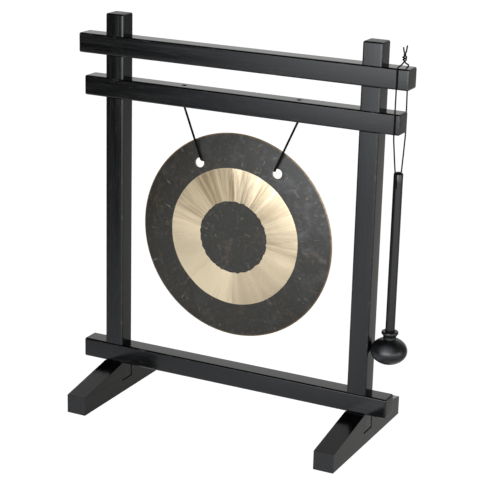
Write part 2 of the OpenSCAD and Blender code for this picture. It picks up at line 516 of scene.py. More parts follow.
@dataclass(frozen=True)
class GongMetal(Finish):
    """Fired bronze with a bare ring scraped in it, and bare metal at every edge; the ring has
    painted light and shade round it.
    """

    centre: Span = (0.0, 0.0)
    radius: float = 0.125
    ring_in: float = 0.352
    ring_out: float = 0.667
    fired: Colour = (0.0200, 0.0185, 0.0145)
    # The pale cloud and scuff colours, which also carry the painted highlight at the upper right.
    cloud: Colour = (0.075, 0.075, 0.073)
    scuffed: Colour = (0.150, 0.150, 0.147)
    rust: Colour = (0.150, 0.085, 0.040)
    scratched: Colour = (0.26, 0.225, 0.17)
    crazed: Colour = (0.24, 0.18, 0.09)
    scored: Colour = (0.012, 0.010, 0.008)
    shallow: Colour = (0.67, 0.545, 0.37)
    bright: Colour = (0.98, 0.81, 0.55)
    deep: Colour = (0.27, 0.205, 0.115)
    bare: Colour = (0.34, 0.22, 0.10)
    # Cells round the gong and cells to the radius.
    strokes: Layer = Layer((10.0, 1.4, 10.0), 4.0, 0.62, 0.4)
    hairs: Layer = Layer((46.0, 1.6, 46.0), 2.0, 0.6, 0.2)
    wander: Layer = Layer((3.4, 0.5, 3.4))
    nicks: Layer = Layer((9.0, 0.0, 9.0), 2.0, 0.6)
    scratches: Layer = Layer((24.0, 5.0, 24.0), 1.0)
    scuffs: Layer = Layer((7.0, 0.0, 11.0), 6.0, 0.72, 0.8)
    # Where the scraping lies deeper, closer or calmer round the ring, and where the ring is painted
    # lighter at the lower left, darker at the upper right and lighter at the top, as painted light,
    # painted shade and a painted highlight.
    calm_at: Sector = (0.385, 0.085, 0.04)
    close_at: Sector = (0.045, 0.045, 0.03)
    close_right: Sector = (0.255, 0.02, 0.02)
    close_low: Sector = (-0.47, 0.02, 0.03)
    painted_light_left_at: Sector = (-0.36, 0.10, 0.07)
    painted_shade_right_at: Sector = (0.15, 0.10, 0.06)
    painted_highlight_top_at: Sector = (0.0, 0.05, 0.04)
    # The seam at the top, and the upper left, painted darker as shade where the ring turns from the
    # light beside it.
    seam_edge: Span = (-0.003, 0.002)
    painted_shade_upper_left: Sector = (-0.20, 0.0, 0.10)
    # Deeper painted shade just left of the seam, and a faint painted shade just right of it.
    deeper_painted_shade_at: Sector = (-0.085, 0.02, 0.05)
    seam_painted_shade_at: Sector = (0.0, 0.045, 0.03)
    # How far the ring's edges wander, and how softly they end, in radii.
    inner_wander: float = 0.035
    outer_wander: float = 0.010
    ring_edge: Span = (-0.003, 0.003)
    scored_at: Sector = (-0.010, -0.003, 0.004)
    outer_line: Sector = (-1.0, 0.0022, 0.002)
    rim_edge: Span = (0.984, 0.992)
    # Each relief's strength and depth.
    hammer_relief: Span = (0.16, 2.0 * MM)
    stroke_relief: Span = (0.07, 0.5 * MM)
    ring_relief: Span = (0.3, 0.12 * MM)
    mottle_relief: Span = (0.15, 0.15 * MM)

    def constants(self) -> dict[str, object]:
        """Return the metal's constants."""
        return {"IOR": 1.5, "Specular IOR Level": 0.40}

    def spot(self, net: Net, place: bpy.types.NodeSocket) -> Spot:
        """Return where a point lies on the gong.

        Args:
            net: the material's nodes.
            place: the point that is painted.

        Returns:
            Its place in radii and in turns round the middle.
        """
        x, _, z = net.split(place)
        x = (x - self.centre[0]) / self.radius
        z = (z - self.centre[1]) / self.radius
        r = net.math("SQRT", x * x + z * z)
        clock = net.math("ARCTAN2", x, z) / TURN
        reach = net.math("MAXIMUM", r, 0.02)
        return Spot(x, z, r, clock, x / reach, z / reach, net.vector(x, 0.0, z))

    def paint(self, net: Net, place: bpy.types.NodeSocket) -> dict[str, object]:
        """Return the ring, its strokes with painted light and shade round it, the patina's clouds
        and flecks, and the bare edges.

        Args:
            net: the material's nodes.
            place: the point that is painted.

        Returns:
            The shader's colour, metalness, roughness and normal.
        """
        at = self.spot(net, place)
        strokes = net.layer(self.strokes, at.ux, at.r, at.uz)
        hairs = net.layer(self.hairs, at.ux, at.r, at.uz)
        wander = net.layer(self.wander, at.ux, at.r, at.uz)
        nicks = net.layer(self.nicks, at.ux, at.r, at.uz)
        inner = self.ring_in + (nicks - 0.5) * self.inner_wander
        outer = self.ring_out + (wander - 0.5) * self.outer_wander
        ring = net.smooth(at.r - inner, *self.ring_edge)
        ring = ring * (1.0 - net.smooth(at.r - outer, *self.ring_edge))

        seam = at.clock + (at.r - 0.5) * 0.03 + (strokes - 0.5) * 0.012
        # Painted shade: the ring's upper left is painted darker, duller and less metallic, up to a
        # crisp seam at the top.
        painted_shade_upper_left = net.window(at.clock, *self.painted_shade_upper_left)
        painted_shade_upper_left = painted_shade_upper_left * (1.0 - net.smooth(seam, *self.seam_edge))
        lower_right = net.arc(at.clock, *self.calm_at)
        tone = self.scraping(net, at, strokes, hairs, painted_shade_upper_left, lower_right)
        # Painted shade, deepest a little left of the seam, and a faint painted shade just right of
        # it.
        deeper_painted_shade = net.window(at.clock, *self.deeper_painted_shade_at) * painted_shade_upper_left
        seam_painted_shade = net.window(seam, *self.seam_painted_shade_at) * (1.0 - painted_shade_upper_left)
        tone = tone - painted_shade_upper_left * 0.20 - deeper_painted_shade * 0.30 - seam_painted_shade * 0.02
        tone = tone - lower_right * 0.06 + (wander - 0.5) * 0.5
        brass = net.ramp(tone, [(0.05, self.deep), (0.55, self.shallow), (0.95, self.bright)])

        fog = net.noise(at.flat, 4.6, 5.0, 0.60, 0.3)
        mottle = net.noise(at.flat, 26.0, 4.0, 0.65)
        patina = self.patina(net, at, fog, mottle)
        cut_line = net.window(at.r - inner, *self.scored_at) * (1.0 - ring)
        patina = net.mix(cut_line * 0.7, patina, self.scored)
        line = net.window(net.math("ABSOLUTE", at.r - outer), *self.outer_line)
        rim = net.smooth(at.r, *self.rim_edge) * 0.55
        edge = net.math("MAXIMUM", net.attribute("bare_edge"), rim)
        edge = edge * (0.55 + net.smooth(mottle, 0.35, 0.6) * 0.45)
        colour = net.mix(line * 0.25, net.mix(ring, patina, brass), self.bright)
        metal = net.math("MAXIMUM", ring, edge)
        rough_patina = 0.42 + (fog - 0.5) * 0.25
        rough_ring = 0.22 + (0.5 - strokes) * 0.12 + lower_right * 0.04 + painted_shade_upper_left * 0.16
        return {
            "Base Color": net.mix(edge, colour, self.bare),
            "Metallic": metal * (0.92 - painted_shade_upper_left * 0.42),
            "Roughness": rough_patina + (rough_ring - rough_patina) * metal,
            "Normal": net.bump(
                (net.noise(at.flat, 3.6, 2.0, 0.35), *self.hammer_relief),
                (strokes * 0.7 + hairs * 0.3, *self.stroke_relief),
                (ring, *self.ring_relief),
                (mottle * (1.0 - ring), *self.mottle_relief),
            ),
        }

    def scraping(
        self, net: Net, at: Spot, strokes: Sock, hairs: Sock, painted_shade_upper_left: Sock, lower_right: Sock
    ) -> Sock:
        """Return how bright the scraped strokes stand, with painted light at the lower left,
        painted shade at the upper right and a painted highlight at the top, before the painted
        shade of the upper left.

        Args:
            net: the material's nodes.
            at: the point that is painted.
            strokes: the broad strokes.
            hairs: the fine ones between them.
            painted_shade_upper_left: 1 where the ring turns away from the light, painted darker
                there as shade.
            lower_right: 1 where the strokes are calm.

        Returns:
            The tone, from dark to bright.
        """
        bundles = net.arc(at.clock, *self.close_at) + net.arc(at.clock, *self.close_right) * 0.4
        bundles = bundles + net.arc(at.clock, *self.close_low) + painted_shade_upper_left * 0.4
        calm = 1.0 - lower_right * 0.85
        contrast = (strokes - 0.5) * (0.65 + bundles * 1.3) * calm + (hairs - 0.5) * 0.26 * calm
        # Painted light at the lower left and painted shade at the upper right, standing for the
        # light that the ring reflects.
        left = net.arc(at.clock, *self.painted_light_left_at)
        right = net.arc(at.clock, *self.painted_shade_right_at)
        tone = 0.62 + contrast * (1.0 - left * 0.45) + left * 0.36 - right * 0.18
        # A painted highlight at the top.
        return tone + net.arc(at.clock, *self.painted_highlight_top_at) * 0.06

    def patina(self, net: Net, at: Spot, fog: Sock, mottle: Sock) -> bpy.types.NodeSocket:
        """Return the fired skin: clouds, scuffs, scratches, crazing and rust; the clouds and scuffs
        gather paler toward the upper right, partly as a painted highlight.

        Args:
            net: the material's nodes.
            at: the point that is painted.
            fog: the broad clouds.
            mottle: the fine ones.

        Returns:
            The skin's colour.
        """
        # Painted highlight: pale clouds and scuffs gather toward the upper right where the light
        # falls; partly the patina's own clouds and scuffs, partly painted highlight.
        painted_highlight_upper_right = net.smooth(at.x * 0.74 + at.z * 0.62, 0.15, 0.90)
        clouds = net.smooth(fog, 0.48, 0.72) * (0.20 + painted_highlight_upper_right * 0.85)
        dots = net.spots(at.flat, 9.0, 0.17, 0.16)
        grey = clouds * 0.9 + (mottle - 0.45) * 0.75 + dots * 0.35
        skin = net.mix(grey, self.fired, self.cloud)
        scuffs = net.layer(self.scuffs, at.x, at.r, at.z)
        skin = net.mix(net.smooth(scuffs, 0.53, 0.72) * painted_highlight_upper_right * 0.65, skin, self.scuffed)
        scratches = net.smooth(net.layer(self.scratches, at.ux, at.r, at.uz), 0.66, 0.76)
        scratches = scratches * net.smooth(mottle, 0.45, 0.60)
        skin = net.mix(scratches * 0.45, skin, self.scratched)
        curl = net.noise(at.flat, 7.0, 2.0, 0.5, 0.6)
        craze = net.window(curl, 0.496, 0.504, 0.006) + net.window(curl, 0.556, 0.562, 0.005)
        craze = craze * net.smooth(net.noise(at.flat, 13.0, 2.0, 0.6), 0.56, 0.66)
        craze = craze * (0.35 + net.smooth(0.42 - at.r, 0.0, 0.08) * 0.65)
        skin = net.mix(craze * 0.65, skin, self.crazed)
        flecks = net.smooth(net.noise(at.flat, 48.0, 3.0, 0.6), 0.60, 0.68)
        brown = net.smooth(net.noise(at.flat, 6.5, 3.0, 0.6), 0.52, 0.70)
        return net.mix(flecks * (0.25 + brown * 0.75) + brown * 0.10, skin, self.rust)


@dataclass(frozen=True)
class Braid(Finish):
    """Braided or twisted cord, its strands laid along the piece's own UV map."""

    # The hollows' colour, painted darker as shade, and the strands' crowns.
    dark: Colour = (0.0015, 0.0015, 0.0018)
    light: Colour = (0.0085, 0.0085, 0.0095)
    around: float = 4.0
    pitch: float = 4.0 * MM
    crossed: bool = True
    fuzz_cells: float = 2600.0

    def constants(self) -> dict[str, object]:
        """Return the fibre's constants."""
        return {"IOR": 1.45, "Specular IOR Level": 0.06}

    def paint(self, net: Net, place: bpy.types.NodeSocket) -> dict[str, object]:
        """Return strands that cross, fuzz and hollows between them, the hollows painted darker as
        shade.

        Args:
            net: the material's nodes.
            place: the point that is painted.

        Returns:
            The shader's colour, roughness and normal.
        """
        u, v, _ = net.split(net.node("ShaderNodeUVMap").outputs[0])
        turn = u * (TURN * self.around)
        step = v * (TURN / self.pitch)
        lay = net.math("SINE", turn + step) * 0.5 + 0.5
        if self.crossed:
            other = net.math("SINE", turn - step) * 0.5 + 0.5
            lay = net.math("MAXIMUM", lay, other) * 0.7 + lay * other * 0.3
        fuzz = net.noise(place, self.fuzz_cells, 2.0)
        return {
            # Painted shade: the colour darkens in the hollows between strands, where the lay's
            # relief is low, mixed with the fibre's own fuzz.
            "Base Color": net.mix(lay * 0.7 + fuzz * 0.3, self.dark, self.light),
            "Roughness": 0.70 + fuzz * 0.2,
            "Normal": net.bump((lay, 0.6, 0.18 * MM), (fuzz, 0.3, 0.05 * MM)),
        }


@dataclass(frozen=True)
class Moulding(Finish):
    """Black rubber, mottled, with dust in places and faintly scuffed.

    Given a painted highlight's size, it has a paler patch of that size, painted in as a highlight.
    """

    base: Colour = (0.012, 0.012, 0.013)
    dust_and_highlight: Colour = (0.024, 0.0235, 0.023)
    rough: float = 0.30
    pebble: float = 900.0
    blotches: float = 60.0
    scuffs: Layer = Layer((700.0, 700.0, 60.0))
    relief: float = 0.10
    sheen: float = 0.5
    # Where the painted highlight sits, how big it is, how flattened and how ragged.
    painted_highlight_at: Point = (0.0, 0.0, 0.0)
    painted_highlight_size: float = 0.0
    painted_highlight_flat: float = 1.6
    painted_highlight_ragged: float = 0.008

    def constants(self) -> dict[str, object]:
        """Return the surface's constants."""
        return {"IOR": 1.5, "Specular IOR Level": self.sheen}

    def paint(self, net: Net, place: bpy.types.NodeSocket) -> dict[str, object]:
        """Return blotches, fine pebble, scuffs and any painted highlight.

        Args:
            net: the material's nodes.
            place: the point that is painted.

        Returns:
            The shader's colour, roughness and normal.
        """
        blotch = net.noise(place, self.blotches, 4.0, 0.6)
        grit = net.noise(place, self.pebble, 2.0)
        x, y, z = net.split(place)
        scuff = net.smooth(net.layer(self.scuffs, x, y, z), 0.66, 0.74)
        dust = net.smooth(blotch, 0.45, 0.75)
        tone = dust * 0.5 + scuff * 0.2 + grit * 0.1
        # Painted highlight: a paler patch, flattened in height and ragged at its edge, that stands
        # for the light on the ball.
        if self.painted_highlight_size > 0.0:
            ax, ay, az = self.painted_highlight_at
            tall = (z - az) * self.painted_highlight_flat
            away = ((x - ax) ** 2.0 + (y - ay) ** 2.0 + tall**2.0) ** 0.5
            ragged = away + (blotch - 0.5) * self.painted_highlight_ragged
            painted_highlight_patch = 1.0 - net.smooth(ragged, 0.0, self.painted_highlight_size)
            tone = tone * 0.25 + painted_highlight_patch * (0.7 + dust * 0.6)
        return {
            "Base Color": net.mix(tone, self.base, self.dust_and_highlight),
            "Roughness": self.rough + blotch * 0.10 + scuff * 0.06,
            "Normal": net.bump((grit, self.relief, 0.06 * MM), (blotch, 0.12, 0.3 * MM)),
        }


@dataclass(frozen=True)
class BlackedSteel(Finish):
    """Black oxide on a screw, rubbed bright in places."""

    oxide: Colour = (0.012, 0.012, 0.013)
    rubbed: Colour = (0.11, 0.105, 0.10)
    rub_cells: float = 420.0
    grit_cells: float = 1500.0

    def constants(self) -> dict[str, object]:
        """Return the steel's constants."""
        return {"IOR": 1.5}

    def paint(self, net: Net, place: bpy.types.NodeSocket) -> dict[str, object]:
        """Return oxide with rubbed spots.

        Args:
            net: the material's nodes.
            place: the point that is painted.

        Returns:
            The shader's colour, metalness, roughness and normal.
        """
        rub = net.smooth(net.noise(place, self.rub_cells, 3.0, 0.6), 0.50, 0.72)
        return {
            "Base Color": net.mix(rub, self.oxide, self.rubbed),
            "Metallic": 0.35 + rub * 0.5,
            "Roughness": 0.46 - rub * 0.12,
            "Normal": net.bump((net.noise(place, self.grit_cells), 0.15, 0.05 * MM)),
        }


# ---- mesh helpers ----


def middle(box: Corner) -> Vector:
    """Return the middle of a box."""
    return (box[0] + box[1]) / 2


def node_box(name: str) -> Corner:
    """Return a CAD node's lowest and highest corners."""
    low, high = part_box(name)
    return Vector(low), Vector(high)


def only_verts(geom: Iterable[object]) -> list[bmesh.types.BMVert]:
    """Return the vertices in an operator's result."""
    return [g for g in geom if isinstance(g, bmesh.types.BMVert)]


def circle(
    bm: bmesh.types.BMesh, radius: float, sides: int, matrix: Matrix, filled: bool = False
) -> list[bmesh.types.BMVert]:
    """Add a round loop.

    Args:
        bm: the shape that it joins.
        radius: its radius.
        sides: how many edges it has.
        matrix: where it lies, and the turn that it faces.
        filled: whether a face closes it.

    Returns:
        Its vertices, in order.
    """
    return bmesh.ops.create_circle(
        bm, cap_ends=filled, radius=radius, segments=sides, matrix=matrix
    )["verts"]


def pulled(
    bm: bmesh.types.BMesh, edges: list[bmesh.types.BMEdge], shift: Vector
) -> list[bmesh.types.BMVert]:
    """Pull a wall out of a loop of edges.

    Args:
        bm: the shape.
        edges: the loop.
        shift: how far and which way the wall goes.

    Returns:
        The wall's new vertices.
    """
    fresh = only_verts(bmesh.ops.extrude_edge_only(bm, edges=edges)["geom"])
    bmesh.ops.translate(bm, vec=shift, verts=fresh)
    return fresh


def edges_between(verts: Iterable[bmesh.types.BMVert]) -> list[bmesh.types.BMEdge]:
    """Return the edges whose two ends are both among these vertices.

    Args:
        verts: the vertices.

    Returns:
        The edges, in the order of the vertices.
    """
    chosen = set(verts)
    touching = {e: None for v in verts for e in v.link_edges}
    return [e for e in touching if e.verts[0] in chosen and e.verts[1] in chosen]


def finished(
    bm: bmesh.types.BMesh,
    name: str,
    material: bpy.types.Material,
    sharp: float | None = 35.0,
    recalc: bool = True,
) -> bpy.types.Object:
    """Turn a bmesh into a piece in the scene.

    Args:
        bm: the shape, which is freed.
        name: the piece's name.
        material: its finish.
        sharp: edges steeper than this many degrees stay crisp, or None for flats
            kept flat by their area.
        recalc: whether its faces are all turned outwards first.

    Returns:
        The new object, at the origin.
    """
    if recalc:
        bmesh.ops.recalc_face_normals(bm, faces=bm.faces)
    for face in bm.faces:
        face.smooth = True
    mesh = bpy.data.meshes.new(name)
    bm.to_mesh(mesh)
    bm.free()
    mesh.materials.append(material)
    made = bpy.data.objects.new(name, mesh)
    bpy.context.scene.collection.objects.link(made)
    if sharp is None:
        made.modifiers.new("flats stay flat", "WEIGHTED_NORMAL").keep_sharp = True
        mesh.set_sharp_from_angle(angle=math.radians(60.0))
    else:
        mesh.set_sharp_from_angle(angle=math.radians(sharp))
    return made


def spun(
    bm: bmesh.types.BMesh, profile: Sequence[tuple[float, float]], centre: Vector, steps: int
) -> None:
    """Spin a profile round an upright line.

    Args:
        bm: the shape that it joins.
        profile: pairs of radius and height.
        centre: a point of the line.
        steps: how many faces go round.
    """
    verts = [bm.verts.new(centre + Vector((r, 0.0, z))) for r, z in profile]
    chain = [bm.edges.new(pair) for pair in zip(verts, verts[1:])]
    bmesh.ops.spin(
        bm, geom=verts + chain, cent=centre, axis=(0, 0, 1), angle=TURN, steps=steps, use_merge=True
    )
    bmesh.ops.remove_doubles(bm, verts=bm.verts, dist=WELD)


def open_loop(bm: bmesh.types.BMesh, near: Vector, reach: float) -> list[bmesh.types.BMEdge]:
    """Return the open edges within reach of a point.

    Args:
        bm: the shape.
        near: the point.
        reach: how far from it an edge's middle may be.

    Returns:
        The edges.
    """
    return [
        e
        for e in bm.edges
        if e.is_boundary and ((e.verts[0].co + e.verts[1].co) / 2 - near).length < reach
    ]


def frames_along(path: Sequence[Vector]) -> list[Matrix]:
    """Return a frame at each point of a path that turns as little as it can.

    Args:
        path: the points.

    Returns:
        A matrix for each, with its third axis along the path.
    """
    headings = []
    for i in range(len(path)):
        ahead = path[min(i + 1, len(path) - 1)] - path[max(i - 1, 0)]
        headings.append(ahead.normalized())
    side = headings[0].orthogonal().normalized()
    frames = []
    for point, heading in zip(path, headings):
        side = (side - heading * side.dot(heading)).normalized()
        turned = Matrix((side, heading.cross(side), heading)).transposed().to_4x4()
        frames.append(Matrix.Translation(point) @ turned)
    return frames


def sweep(bm: bmesh.types.BMesh, path: Sequence[Vector], radius: float, sides: int) -> None:
    """Sweep a circle along a path as a closed tube, with a UV map along and around it.

    Args:
        bm: the shape that it joins.
        path: the points that its middle follows.
        radius: the tube's radius.
        sides: how many faces go round.
    """
    frames = frames_along(path)
    uv = bm.loops.layers.uv.get("UVMap") or bm.loops.layers.uv.new("UVMap")
    first = len(bm.verts)
    ring = circle(bm, radius, sides, frames[0])
    edges = edges_between(ring)
    bmesh.ops.holes_fill(bm, edges=edges, sides=0)
    run = [0.0]
    order = {v: (0, i) for i, v in enumerate(ring)}
    for step, (before, after) in enumerate(zip(frames, frames[1:]), start=1):
        fresh = only_verts(bmesh.ops.extrude_edge_only(bm, edges=edges)["geom"])
        for vert in fresh:
            below = (order.get(e.other_vert(vert)) for e in vert.link_edges)
            order[vert] = (step, next(place[1] for place in below if place and place[0] < step))
        edges = edges_between(fresh)
        bmesh.ops.transform(bm, matrix=after @ before.inverted(), verts=fresh)
        run.append(run[-1] + (after.translation - before.translation).length)
    bmesh.ops.holes_fill(bm, edges=edges, sides=0)
    bm.verts.ensure_lookup_table()
    for face in {f for v in bm.verts[first:] for f in v.link_faces}:
        wraps = {order[loop.vert][1] for loop in face.loops} == {0, sides - 1}
        for loop in face.loops:
            step, around = order[loop.vert]
            if wraps and around == 0:
                around = sides
            loop[uv].uv = (around / sides, run[step])


def smooth_path(points: Sequence[Vector], spacing: float) -> list[Vector]:
    """Return points spaced evenly enough along a smooth curve through the given points.

    Args:
        points: the points that it passes.
        spacing: how far apart the new ones are.

    Returns:
        The new points.
    """
    padded = [points[0] * 2 - points[1], *points, points[-1] * 2 - points[-2]]
    path = [points[0].copy()]
    for a, b, c, d in zip(padded, padded[1:], padded[2:], padded[3:]):
        knots = [0.0]
        for start, stop in ((a, b), (b, c), (c, d)):
            knots.append(knots[-1] + max((stop - start).length, 1e-6) ** 0.5)
        count = max(1, round((c - b).length / spacing))
        for k in range(1, count + 1):
            t = knots[1] + (knots[2] - knots[1]) * k / count
            path.append(_on_spline((a, b, c, d), knots, t))
    return path


def _on_spline(points: Sequence[Vector], knots: Sequence[float], t: float) -> Vector:
    """Return a point of the smooth curve through four points.

    Args:
        points: the four points.
        knots: the value of t at each.
        t: the value at the point that is wanted.

    Returns:
        The point.
    """
    level = list(points)
    for span in (1, 2):
        level = [
            _between(level[i], level[i + 1], knots[i], knots[i + span], t)
            for i in range(len(level) - 1)
        ]
    return _between(level[0], level[1], knots[1], knots[2], t)


def _between(a: Vector, b: Vector, start: float, stop: float, t: float) -> Vector:
    """Return the point between a and b where t lies between two knots."""
    return a + (b - a) * ((t - start) / (stop - start))


def path_length(path: Sequence[Vector]) -> float:
    """Return the length of a path."""
    return sum((b - a).length for a, b in zip(path, path[1:]))


# ---- timber stand ----


@dataclass(frozen=True)
class Cut:
    """One corner of a timber's outline, seen along the way that it is sawn."""

    place: tuple[float, float]
    arris: bool = True
    run: bool = True


@dataclass
class Stand:
    """Two posts and three bars lapped across them, on two slotted feet."""

    body: str = "stand"
    arris: float = 2.1 * MM
    foot_arris: float = 1.3 * MM
    rounds: int = 3
    bars: tuple[str, ...] = ("upper_bar", "lower_bar", "bottom_bar")
    posts: tuple[str, ...] = ("post_left", "post_right")
    feet: tuple[str, ...] = ("foot_left", "foot_right")
    first_post: int = 4
    first_foot: int = 7
    stick_step: float = 1.37
    foot_end: float = 24 * MM
    slot_floor: float = 16 * MM
    holes_apart: float = 149.2 * MM
    cord_x: float = field(default_factory=lambda: middle(node_box("gong")).x + BAR_CORD_OFF)
    bore: float = 1.7 * MM
    pocket: float = 3.2 * MM
    pocket_depth: float = 5 * MM
    patch: float = 5 * MM
    flush: float = 0.01 * MM
    hole_sides: int = 32
    screw_head: float = 3.6 * MM
    screw_sides: int = 24
    screw_rim: float = 1.0 * MM
    socket: float = 1.6 * MM
    socket_depth: float = 1.6 * MM
    socket_flats: int = 6
    pad_radius: float = 7.0 * MM
    pad_sides: int = 40

    def build(self) -> list[bpy.types.Object]:
        """Build the stand.

        Returns:
            Every piece of it, dressed and riding on its body.
        """
        made = [self.bar(name, plank) for plank, name in enumerate(self.bars)]
        made += [self.post(name, plank) for plank, name in enumerate(self.posts, self.first_post)]
        made += [self.foot(name, plank) for plank, name in enumerate(self.feet, self.first_foot)]
        made += [self.screws("lap_screws"), self.screws("foot_screws"), self.pads()]
        for piece in made:
            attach(piece, self.body)
        return made

    @staticmethod
    def notch(*corners: tuple[float, float]) -> list[Cut]:
        """Return the four crisp corners of a lap or a slot, in the order of the outline."""
        return [Cut(place, arris=False, run=place is corners[-1]) for place in corners]

    def bar(self, name: str, plank: int) -> bpy.types.Object:
        """Return a bar that is lapped over both posts from the front.

        Args:
            name: the bar's CAD node.
            plank: which stick of timber it was sawn from.

        Returns:
            The dressed bar.
        """
        low, high = node_box(name)
        back = middle((low, high)).y
        outline = [Cut((low.x, low.y)), Cut((high.x, low.y)), Cut((high.x, high.y))]
        for post in reversed(self.posts):
            left, right = node_box(post)
            outline += self.notch(
                (right.x, high.y), (right.x, back), (left.x, back), (left.x, high.y)
            )
        outline.append(Cut((low.x, high.y)))
        bm = self.sawn(outline, low.z, high.z, lambda a, b, h: Vector((a, b, h)), self.arris)
        if name == "lower_bar":
            self.cord_holes(bm, low.z, high.z)
        return self.dressed(bm, name, Grain.ALONG_X, plank)

    def post(self, name: str, plank: int) -> bpy.types.Object:
        """Return a post that is lapped behind every bar.

        Args:
            name: the post's CAD node.
            plank: which stick of timber it was sawn from.

        Returns:
            The dressed post.
        """
        low, high = node_box(name)
        half = middle((low, high)).y
        outline = [Cut((high.y, low.z)), Cut((high.y, high.z)), Cut((low.y, high.z))]
        for bar in self.bars:
            under, top = node_box(bar)
            outline += self.notch(
                (low.y, top.z), (half, top.z), (half, under.z), (low.y, under.z)
            )
        outline.append(Cut((low.y, low.z)))
        bm = self.sawn(outline, low.x, high.x, lambda a, b, h: Vector((h, a, b)), self.arris)
        return self.dressed(bm, name, Grain.ALONG_Z, plank)

    def foot(self, name: str, plank: int) -> bpy.types.Object:
        """Return a foot that tapers to both ends, slotted right across for its post.

        Args:
            name: the foot's CAD node.
            plank: which stick of timber it was sawn from.

        Returns:
            The dressed foot.
        """
        low, high = node_box(name)
        post_low, post_high = node_box(name.replace("foot", "post"))
        flat = (high.z - self.slot_floor) / 2
        outline = [
            Cut((low.y, low.z)),
            Cut((high.y, low.z)),
            Cut((high.y, self.foot_end)),
            Cut((flat, high.z)),
            *self.notch(
                (post_high.y, high.z),
                (post_high.y, self.slot_floor),
                (post_low.y, self.slot_floor),
                (post_low.y, high.z),
            ),
            Cut((-flat, high.z)),
            Cut((low.y, self.foot_end)),
        ]
        bm = self.sawn(outline, low.x, high.x, lambda a, b, h: Vector((h, a, b)), self.foot_arris)
        return self.dressed(bm, name, Grain.ALONG_Y, plank)

    def sawn(
        self,
        outline: Sequence[Cut],
        start: float,
        stop: float,
        put: Callable[[float, float, float], Vector],
        arris: float,
    ) -> bmesh.types.BMesh:
        """Saw an outline through and ease its outer arrises.

        Args:
            outline: its corners in order.
            start: where the sawn length begins.
            stop: where it ends.
            put: turns a corner and a place along the length into a point.
            arris: how far each arris is rounded.

        Returns:
            The timber, with the arris faces marked.
        """
        bm = bmesh.new()
        mark = bm.faces.layers.float.new("arris")
        verts = [bm.verts.new(put(*cut.place, start)) for cut in outline]
        face = bm.faces.new(verts)
        far = only_verts(
            bmesh.ops.extrude_face_region(bm, geom=[face], use_keep_orig=True)["geom"]
        )
        shift = put(0.0, 0.0, stop) - put(0.0, 0.0, start)
        twin = {}
        for vert in verts:
            twin[vert] = min(far, key=lambda other: (other.co - vert.co).length)
        bmesh.ops.translate(bm, vec=shift, verts=far)
        eased = []
        for cut, vert, after in zip(outline, verts, [*verts[1:], verts[0]]):
            if cut.arris:
                eased.append(bm.edges.get((vert, twin[vert])))
            if cut.run:
                eased += [bm.edges.get((vert, after)), bm.edges.get((twin[vert], twin[after]))]
        bmesh.ops.recalc_face_normals(bm, faces=bm.faces)
        rounded = bmesh.ops.bevel(
            bm,
            geom=eased,
            offset=arris,
            offset_type="OFFSET",
            segments=self.rounds,
            profile=0.5,
            affect="EDGES",
            clamp_overlap=True,
            material=-1,
        )["faces"]
        for face in rounded:
            face[mark] = 1.0
        return bm

    def dressed(
        self, bm: bmesh.types.BMesh, name: str, grain: Grain, plank: int
    ) -> bpy.types.Object:
        """Mark a timber's end grain and finish it as the piece that stands for its node.

        Args:
            bm: the sawn timber.
            name: its CAD node.
            grain: which way its grain runs.
            plank: which stick of timber it was sawn from.

        Returns:
            The dressed piece.
        """
        mark = bm.faces.layers.float.new("end_grain")
        for face in bm.faces:
            face[mark] = 1.0 if abs(face.normal[grain.along]) > SQUARE_ON else 0.0
        finish = StainedTimber(f"stained_timber_{name}", grain, plank * self.stick_step)
        piece = finished(bm, f"{name}_timber", finish.material(), sharp=None)
        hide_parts(name)
        return piece

    def cord_holes(self, bm: bmesh.types.BMesh, under: float, top: float) -> None:
        """Cut the two cord holes down through the bar, each with a pocket for its knot.

        Args:
            bm: the bar.
            under: the height of its underside.
            top: the height of its top.
        """
        for side in (-1.0, 1.0):
            at = Vector((self.cord_x + side * self.holes_apart / 2, 0.0, top))
            for edge in (-self.patch, self.patch):
                self.slice(bm, list(bm.faces), at + Vector((edge, 0, 0)), (1, 0, 0))
            for height in (top, under):
                for edge in (-self.patch, self.patch):
                    strip = self.strip(bm, at.x, height)
                    self.slice(bm, strip, at + Vector((0, edge, 0)), (0, 1, 0))
            mouth = self.opened(bm, at, self.pocket)
            lip = self.opened(bm, Vector((at.x, 0.0, under)), self.bore)
            floor = pulled(bm, mouth, Vector((0, 0, -self.pocket_depth)))
            inner = pulled(bm, edges_between(floor), Vector((0, 0, 0)))
            share = self.bore / self.pocket
            bmesh.ops.scale(bm, vec=(share, share, 1), verts=inner, space=Matrix.Translation(-at))
            bmesh.ops.bridge_loops(bm, edges=edges_between(inner) + lip)

    def strip(self, bm: bmesh.types.BMesh, x: float, height: float) -> list[bmesh.types.BMFace]:
        """Return the level faces of a bar round a cord hole.

        Args:
            bm: the bar.
            x: where the hole is along it.
            height: the height of the faces.

        Returns:
            The faces, right across the bar.
        """
        return [
            f
            for f in bm.faces
            if abs(f.normal.z) > 0.99
            and abs(f.calc_center_median().z - height) < self.flush
            and abs(f.calc_center_median().x - x) < self.patch
        ]

    @staticmethod
    def slice(
        bm: bmesh.types.BMesh, faces: list[bmesh.types.BMFace], at: Vector, normal: Sequence[float]
    ) -> None:
        """Cut some faces along a plane, keeping both sides.

        Args:
            bm: the shape.
            faces: the faces that are cut.
            at: a point of the plane.
            normal: the way that the plane faces.
        """
        geom = {g: None for f in faces for g in (*f.verts, *f.edges, f)}
        bmesh.ops.bisect_plane(bm, geom=list(geom), plane_co=at, plane_no=normal)

